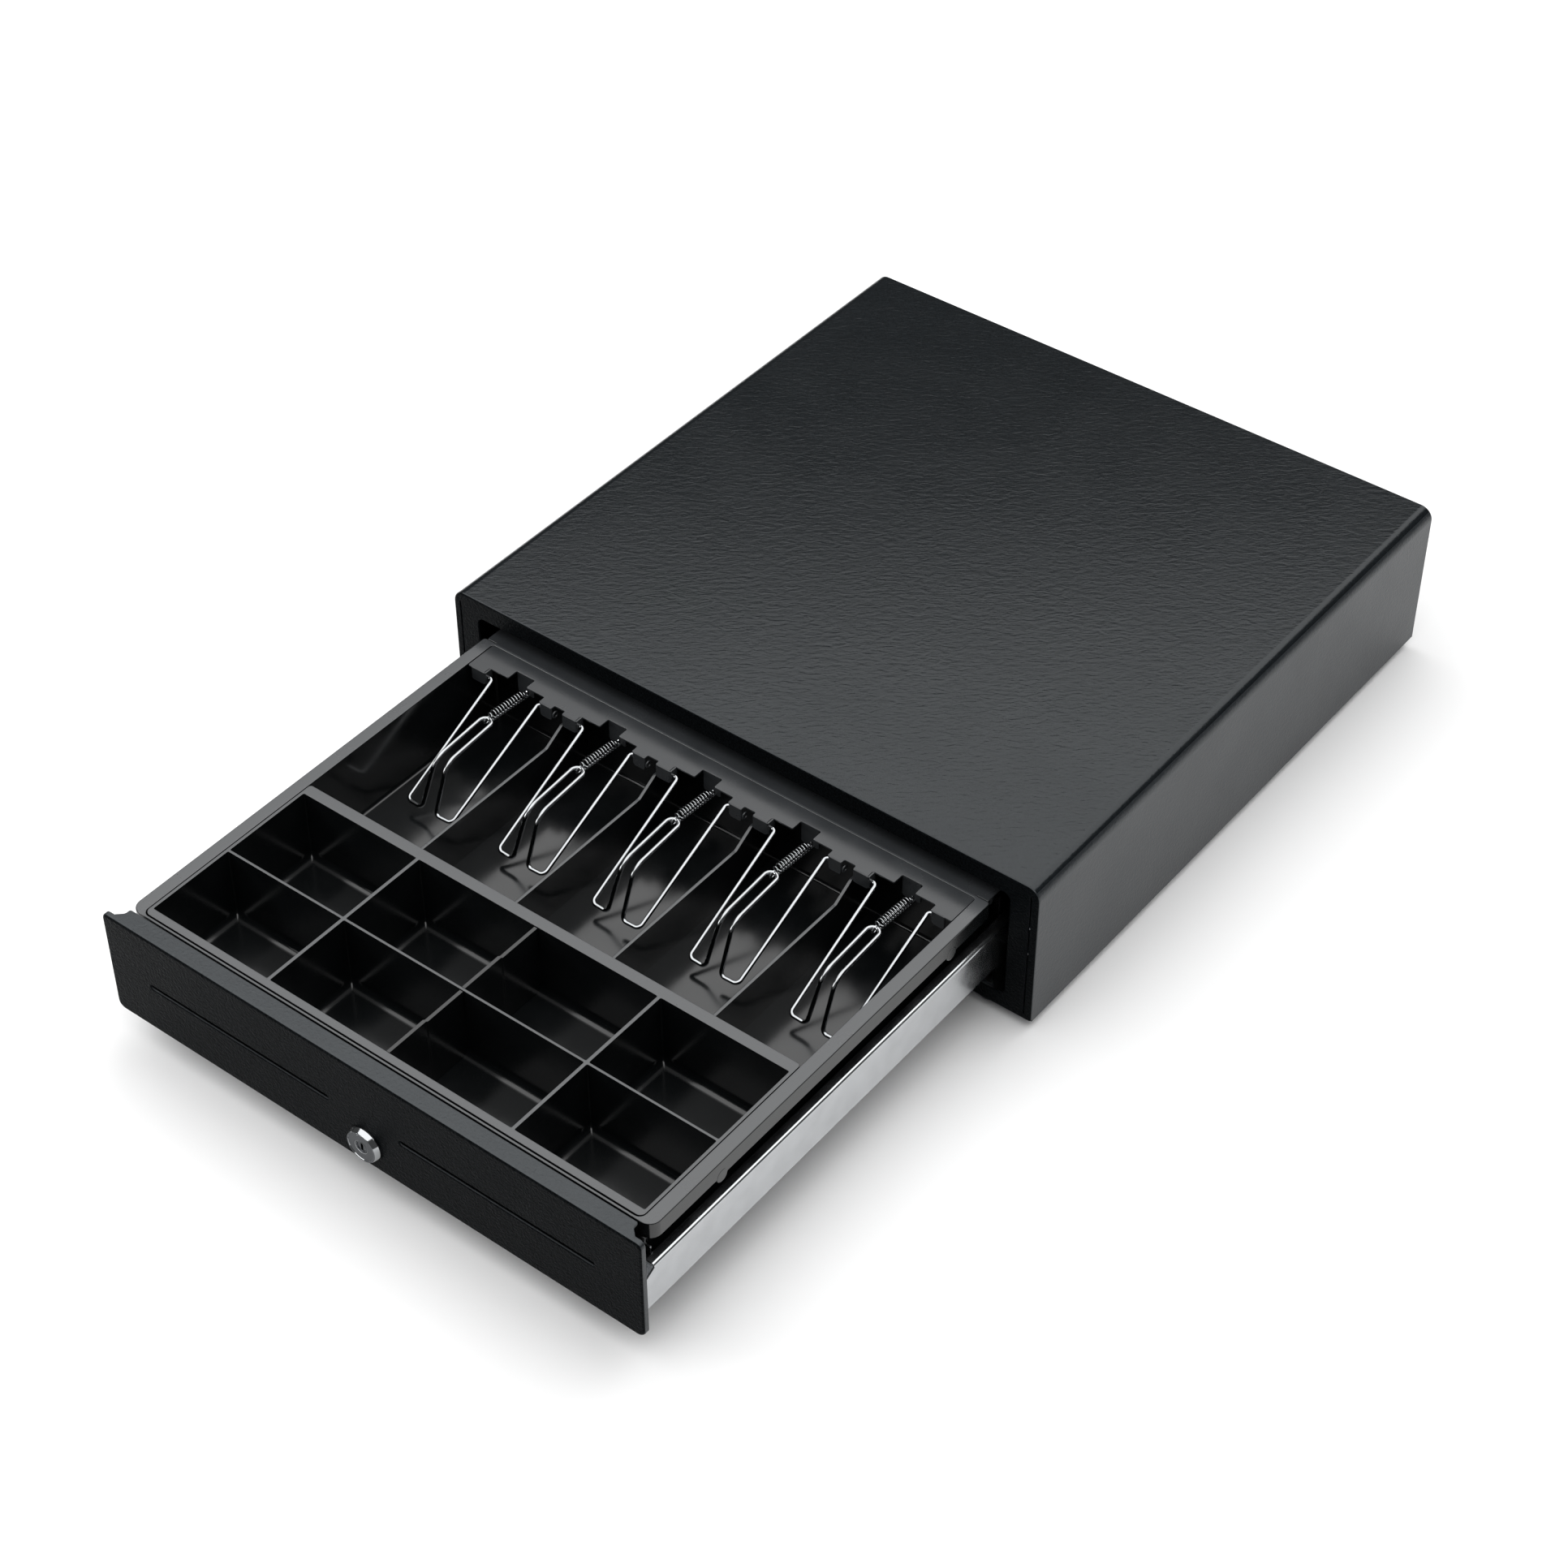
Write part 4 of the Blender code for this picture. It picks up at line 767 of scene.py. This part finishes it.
def coin_insert():
    """Down from the flange, over its edge and across to the tiles; then each cup from its tile over a
    sharp lip, down a slightly sloping wall, and round a fillet to its floor."""
    shape = Shape()
    steps, corner, fillet, draft = 5, 0.8, 5.0, 0.8
    flange, radii = (-169.6, 169.6, -282.8, -157.5), (3.6, 3.6, 2, 2)
    xs, ys = (-168.2, -83.5, 83.5, 168.2), (-279.4, -222.1, -163.0)
    levels = [grown(flange, 0, RIM_Z - 2.4, radii)]
    levels += [grown(flange, -inset, z, radii) for inset, z in quarter(0, RIM_Z, 0.35)]
    tiles = tile_outline(xs[0], xs[-1], ys[0], ys[-1], steps, xs[2], ys[1])
    shape.rings([*stack(levels, steps), place(tiles, "z", RIM_Z)])
    for row, (y0, y1) in zip(zip(ys, ys[1:]), CUP_ROWS):
        for column, (x0, x1) in zip(zip(xs, xs[1:]), CUP_SPANS):
            tile = tile_outline(*column, *row, steps)
            rings = hole_rings(tile, rounded_rect(x0, x1, y0, y1, corner, steps), 0.3, "z", RIM_Z, -1.0)
            for t in np.linspace(0, math.pi / 2, 6):
                d = draft + fillet * (1 - math.cos(t))
                low = rounded_rect(x0 + d, x1 - d, y0 + d, y1 - d, corner, steps)
                rings.append(place(low, "z", CUP_FLOOR + fillet * (1 - math.sin(t))))
            shape.rings(rings, cap_last=True)
    return shape


insert = finished(coin_insert(), "coin_insert_moulding", "drawer", polished_abs,
                  ["coin_insert"], wall=1.2)
# Upward faces above 55 mm take the satin copy: satin gloss, with a painted sheen in its lighter grey.
also_finished(insert, satin_abs_painted_sheen, (0, 0, 1), above=55)


def divider(row):
    """A flat blade in two halves a little out of line, which lets it grip the cup's ends."""
    shape = Shape()
    low, high = row[0] + 0.3, row[1] - 0.3
    middle, half, jog = (low + high) / 2, 1.1, 0.35
    blade = [(-half - jog, low), (half - jog, low), (half - jog, middle), (half + jog, middle + 0.6),
             (half + jog, high), (jog - half, high), (jog - half, middle + 0.6), (-half - jog, middle)]
    return shape.solid(round_path(blade, 0.25, 3), "z", CUP_FLOOR + 0.3, RIM_Z - 0.4, 0.2, 2)


for place_name, row in zip(("front", "rear"), CUP_ROWS):
    finished(divider(row), f"cup_divider_{place_name}", "drawer", polished_abs,
             [f"coin_divider_{place_name}"])

# %% [markdown]
# ## The clips
#
# Behind the bays a folded steel bracket carries five clips of hard chromed wire. Each clip is one wire:
# from its pivot down an arm, across, and back up to a narrow loop at the back, where an extension spring
# pulls it down on to the notes. The bracket's front edge steps in and out round each clip.

# %% The clip bracket
BRACKET_TOP = 78.2
EDGE_Y = -28.7
PIVOT = (-25.9, 73.5)
TAB_X = 20.3


def clip_bracket():
    """The plate's outline follows the steps of the front edge. Tabs folded down from it are thin
    upright plates with rounded corners, left unpierced."""
    shape = Shape()
    top, under, back, end = BRACKET_TOP, BRACKET_TOP - SHEET, 8.7, 169.6
    step, notch, pocket = EDGE_Y + 0.3, -23.3, -15.7
    edge = [(-end, back), (-end, step)]
    for m in MIDDLES:
        left, right = m - TAB_X - 1.2, m + TAB_X - 0.6
        edge += [(left, step), (left, notch), (m - 7.6, notch), (m - 7.6, pocket),
                 (m + 6.0, pocket), (m + 6.0, notch), (right, notch), (right, step)]
        if m < MIDDLES[-1]:
            edge += [(m + 29.2, step), (m + 29.2, -25.4), (m + 36.8, -25.4), (m + 36.8, step)]
    edge += [(end, step), (end, back)]
    shape.solid(round_path(edge[::-1], 0.9, 4), "z", under, top, 0.3)
    shape.solid(rounded_rect(-176, 176, -4.4, back, 1.0, 4), "z", under - 0.02, top - 0.02, 0.3)
    shape.solid(rounded_rect(-170, 170, 62, top - 0.4, 1.0, 4), "y", back - SHEET, back, 0.3)

    circle = np.linspace(0, 2 * math.pi, 25)
    for m in MIDDLES:
        for x0, x1 in ((-31.0, -TAB_X - 0.4), (TAB_X + 0.4, 29.2)):
            x0, x1 = max(m + x0, 0.2 - end), min(m + x1, end - 0.2)
            apron = rounded_rect(x0, x1, 69, top, (1.8, 1.8, 0.6, 0.6), 4)
            shape.solid(apron, "y", EDGE_Y, EDGE_Y + SHEET, 0.5)
        for x in (m - TAB_X - SHEET, m + TAB_X):
            cheek = rounded_rect(EDGE_Y + 0.4, -22.4, 69.0, top - 0.2, (1.6, 1.6, 0.4, 0.4), 4)
            shape.solid(cheek, "x", x, x + SHEET, 0.3)
        hanger = rounded_rect(m - 7.6, m + 4.6, 63.5, top - 0.1, (1.6, 1.6, 0.5, 0.5), 4)
        shape.solid(hanger, "y", -15.8, -14.6, 0.35)
        shape.solid(rounded_rect(m - 1.5, m + 1.5, -19.1, -14.7, 0.8, 3), "z", 63.6, 64.8, 0.35)
        eye = [np.full_like(circle, m + 30.2), -26.6 + 1.9 * np.cos(circle), 73.0 + 1.9 * np.sin(circle)]
        if m < MIDDLES[-1]:
            shape.wire(np.stack(eye, -1), (1, 0, 0), 0.55, 8)
    return shape


finished(clip_bracket(), "clip_bracket_sheet", "drawer", stove_enamel,
         ["clip_bracket"])

# %% [markdown]
# A clip could be a curve with a round bevel, but a wire worked out as points keeps its corners even and
# its mesh at the origin. Each spring is a helix with a hook at both ends. It joins the bracket to its
# clip, and rides on no body: its points stay where they are drawn.

# %% Clips and springs
WIRE_R = 1.25
SPRING_R, SPRING_WIRE_R = 2.65, 0.36


def clip_wire(m):
    """Half the path is a row of corners rounded by arcs. The back loop is half a circle, and the other
    half mirrors the first about the bay's middle."""
    loop_r, loop_y, loop_z = 3.9, -52.5, 68.5
    corners = [(m + TAB_X + 2.6, *PIVOT), (m + 17.2, *PIVOT), (m + 16.7, -102.3, 37.0),
               (m + 5.2, -102.7, 37.0), (m + loop_r, -89.5, 65.7), (m + loop_r, loop_y, loop_z)]
    half = round_path(corners, (0, 2.2, 3.4, 3.2, 12.0, 0), 10, closed=False)
    t = np.linspace(0, math.pi, 13)[1:-1]
    loop = [m + loop_r * np.cos(t), loop_y + loop_r * np.sin(t), np.full_like(t, loop_z)]
    loop = np.stack(loop, -1)
    mirrored = half[::-1] * (-1, 1, 1) + (2 * m, 0, 0)
    return Shape().wire(np.vstack([half, loop, mirrored]), (0, 0.3, 1), WIRE_R, 16)


def coil_line(start, end, radius, turns, pinch=1.0):
    """A helix round the line from start to end. Below 1, pinch draws the end turns in towards the line."""
    start, end = np.array(start, float), np.array(end, float)
    along = unit(end - start)
    side = np.array([1.0, 0, 0])
    t = np.linspace(0, 1, int(turns * 24) + 1)[:, None]
    angle = 2 * math.pi * turns * t
    spoke = np.cos(angle) * side + np.sin(angle) * np.cross(side, along)
    return start + t * (end - start) + radius * np.clip(np.minimum(t, 1 - t) * 26, pinch, 1) * spoke, along


def clip_spring(m):
    """A helix from the clip's loop to the bracket's hook, with most of a turn of hook at each end."""
    side = np.array([1.0, 0, 0])
    coil, along = coil_line((m, -47.6, 69.6), (m, -19.8, 67.4), SPRING_R, 12.5, 0.35)
    up = np.cross(side, along)
    a = np.linspace(math.pi * 0.2, math.pi * 1.9, 12)[:, None]
    hook = np.array([m, -50.9, 69.4]) + 2.1 * (np.cos(a) * up + np.sin(a) * along)
    tail = np.array([m, -17.6, 66.0]) + 1.7 * (np.cos(a) * up - np.sin(a) * along)
    shape = Shape().wire(coil, along, SPRING_WIRE_R, 8)
    shape.wire(hook, side, SPRING_WIRE_R, 8)
    return shape.wire(tail, side, SPRING_WIRE_R, 8)


for number, m in enumerate(MIDDLES, 1):
    finished(clip_wire(m), f"clip_wire_{number}", f"note_clip_{number}", bright_chrome,
             [f"note_clip_{number}"])
    coil = finished(clip_spring(m), f"clip_coil_{number}", "", spring_steel,
                    [f"clip_spring_{number}"])
    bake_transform(coil)

# %% [markdown]
# Two springs sit inside the housing and are pressed shorter by a joint: the drawer's rear wall pushes the
# kick-out spring over the last of its travel, and the plunger pulls its return spring down. Each is a
# plain, even helix that fills its node's length and rides on the housing.

# %% The two springs inside
def pressed_spring(cad, axis, radius, turns, wire):
    """A helix of round wire along an axis. Along Y it stands on its far end, along Z on its lower one."""
    low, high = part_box(cad)
    middle = [((a + b) / 2 - o) / MM for a, b, o in zip(low, high, ORIGIN)]
    lower, upper = list(middle), list(middle)
    lower[axis] = (low[axis] - ORIGIN[axis]) / MM + wire
    upper[axis] = (high[axis] - ORIGIN[axis]) / MM - wire
    stands_on, free = (upper, lower) if axis == 1 else (lower, upper)
    coil, along = coil_line(stands_on, free, radius, turns)
    made = finished(Shape().wire(coil, along, wire, 8), cad + "_coil", "housing", spring_steel,
                    [cad])
    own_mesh(made)


pressed_spring("kick_spring", 1, 5.4, 8, 0.7)
pressed_spring("plunger_spring", 2, 5.2, 3, 0.4)

# %% [markdown]
# ## The lock and the feet
#
# The lock's ring is turned brass, chromed: a sloping side, a fine groove, and a flat satin face with the
# plug in its middle. A turned shape is its profile carried round the axis, so grooves cost only a few
# more points. The rubber feet are turned too.

# %% The lock and the feet
def lock_ring():
    """A closed profile of (radius, place along Y) turned round the lock's axis."""
    face, behind = FRONT - 4.0, FRONT + 13.0
    profile = [(11.0, FRONT - 0.3), (11.0, FRONT - 1.0), (10.9, FRONT - 1.3), (9.9, face + 0.35),
               (9.7, face + 0.05), (9.4, face), (9.1, face + 0.05), (8.95, face + 0.4), (8.7, face + 0.45),
               (8.6, face + 0.3), (4.3, face + 0.3), (4.1, face + 0.4), (4.0, face + 0.7),
               (4.0, behind), (9.3, behind), (9.3, FRONT - 0.3)]
    return Shape().turned(profile, (0, LOCK_Z), "y", 64, hollow=True)


def lock_plug():
    """A disc with a raised rim round a keyway. Its circles have the keyway's number of points, from the
    same angle, so that the flat face is one ring of faces between the two."""
    face, steps = FRONT - 3.1, 7
    keyway = rounded_rect(-0.75, 0.75, LOCK_Z - 2.6, LOCK_Z + 2.2, 0.7, steps)
    start = math.atan2(keyway[0, 1] - LOCK_Z, keyway[0, 0])
    around = np.linspace(start, start + 2 * math.pi, len(keyway), endpoint=False)
    circle = np.stack([np.cos(around), np.sin(around)], -1)
    levels = [(3.85, FRONT + 12.0), (3.85, face - 0.3), (3.7, face - 0.45), (3.4, face - 0.45),
              (3.2, face - 0.3), (3.1, face)]
    rings = [place((0, LOCK_Z) + r * circle, "y", y) for r, y in levels]
    rings += [place(shrunk(keyway, -0.1), "y", face), place(keyway, "y", face + 0.15)]
    rings.append(place(keyway, "y", face + 6.0))
    return Shape().rings(rings[::-1], True, True)


lock = finished(lock_ring(), "lock_ring", "drawer", bright_chrome, ["lock_barrel"])
# The lock's faces that look forward take the dark brushed copy: real brushing, with painted shade in its
# colour.
also_finished(lock, brushed_chrome_painted_shade, (0, -1, 0), 0.97)
finished(lock_plug(), "lock_plug_face", "lock_plug", brushed_chrome_painted_shade, ["lock_plug"])

pad = [(3.0, -6.0), (3.2, -5.2), (6.5, -5.2), (6.8, -6.0), (8.4, -6.0)]
pad += [(8.4 + 1.5 * math.sin(t), -4.5 - 1.5 * math.cos(t)) for t in np.linspace(0.3, math.pi / 2, 5)]
pad += [(10.0, 0.0)]
for end in ("front", "rear"):
    for side in ("left", "right"):
        low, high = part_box(f"foot_{end}_{side}")
        x, y = (low.x + high.x) / 2 / MM, ((low.y + high.y) / 2 - ORIGIN[1]) / MM
        finished(Shape().turned(pad, (x, y), "z"), f"foot_pad_{end}_{side}", "housing", moulded_rubber,
                 [f"foot_{end}_{side}"])

# %% [markdown]
# ## The studio
#
# A white floor, a dim even surround and two soft lamps, as for a catalogue. The large one hangs level,
# ahead of the camera, and the flat tops mirror it: its far edge is what fades the top from grey at the
# front to black at the back. The upright sides mirror the white floor. A small lamp low at the front
# lifts the drawer's front a little.

# %% Floor and lamps
def stage_plane(name, half, finish):
    """One level square on the ground, half metres each way, kept out of the object."""
    mesh = bpy.data.meshes.new(name)
    corners = [(-half, -half, 0), (half, -half, 0), (half, half, 0), (-half, half, 0)]
    mesh.from_pydata(corners, [], [(0, 1, 2, 3)])
    mesh.materials.append(finish)
    made = bpy.data.objects.new(name, mesh)
    bpy.context.scene.collection.objects.link(made)


paper = moulded("seamless_paper", "#f3f3f3", "#f5f5f5", 0.85, 0.95, 0.01, 200.0, IOR=1.5)
stage_plane("studio_floor", 12.0, paper)

world = bpy.data.worlds.new("studio")
bpy.context.scene.world = world
world.use_nodes = True
background = world.node_tree.nodes["Background"]
background.inputs["Color"].default_value = (1, 1, 1, 1)
background.inputs["Strength"].default_value = 0.10


def softbox(name, place_at, aim, width, height, power, turn=0.0):
    """A rectangular lamp that faces a point. turn turns it about the way it faces."""
    lamp = bpy.data.lights.new(name, "AREA")
    lamp.shape = "RECTANGLE"
    lamp.size, lamp.size_y, lamp.energy = width, height, power
    made = bpy.data.objects.new(name, lamp)
    bpy.context.scene.collection.objects.link(made)
    made.location = place_at
    facing = (Vector(aim) - Vector(place_at)).to_track_quat("-Z", "Y")
    made.rotation_euler = (facing.to_matrix() @ Matrix.Rotation(turn, 3, "Z")).to_euler()
    print(name, "lamp:", width, "by", height, "m,", power, "W")


VIEW_AZIMUTH, VIEW_ELEVATION = math.radians(37.79), math.radians(42.44)
CAMERA_AT = Vector((0.8447, -1.0962, 1.2925))
BOX_SIDE, BOX_HEIGHT, BOX_FAR_EDGE = 4.6, 2.2, 4.02
ahead = Vector((-math.sin(VIEW_AZIMUTH), math.cos(VIEW_AZIMUTH), 0))
over = Vector((CAMERA_AT.x, CAMERA_AT.y, BOX_HEIGHT)) + ahead * (BOX_FAR_EDGE - BOX_SIDE / 2)
softbox("overhead", over, over - Vector((0, 0, 1)), BOX_SIDE, BOX_SIDE, 142, VIEW_AZIMUTH)
softbox("front_left", (-0.9, -1.1, 0.6), (-0.2, -0.354, 0.05), 0.5, 0.4, 4)

# %% [markdown]
# A long lens from well back keeps the drawer's edges nearly parallel. The Standard view transform shows
# white paper as white, where a film-like one would grey it.

# %% The camera
camera_data = bpy.data.cameras.new("camera")
camera_data.lens, camera_data.sensor_width = 75.0, 36.0
camera = bpy.data.objects.new("camera", camera_data)
bpy.context.scene.collection.objects.link(camera)
look = ahead * math.cos(VIEW_ELEVATION) - Vector((0, 0, math.sin(VIEW_ELEVATION)))
camera.location = CAMERA_AT
camera.rotation_euler = look.to_track_quat("-Z", "Y").to_euler()
bpy.context.scene.camera = camera
bpy.context.scene.view_settings.view_transform = "Standard"
print("the camera is", round(CAMERA_AT.length, 2), "m from the middle of the drawer")
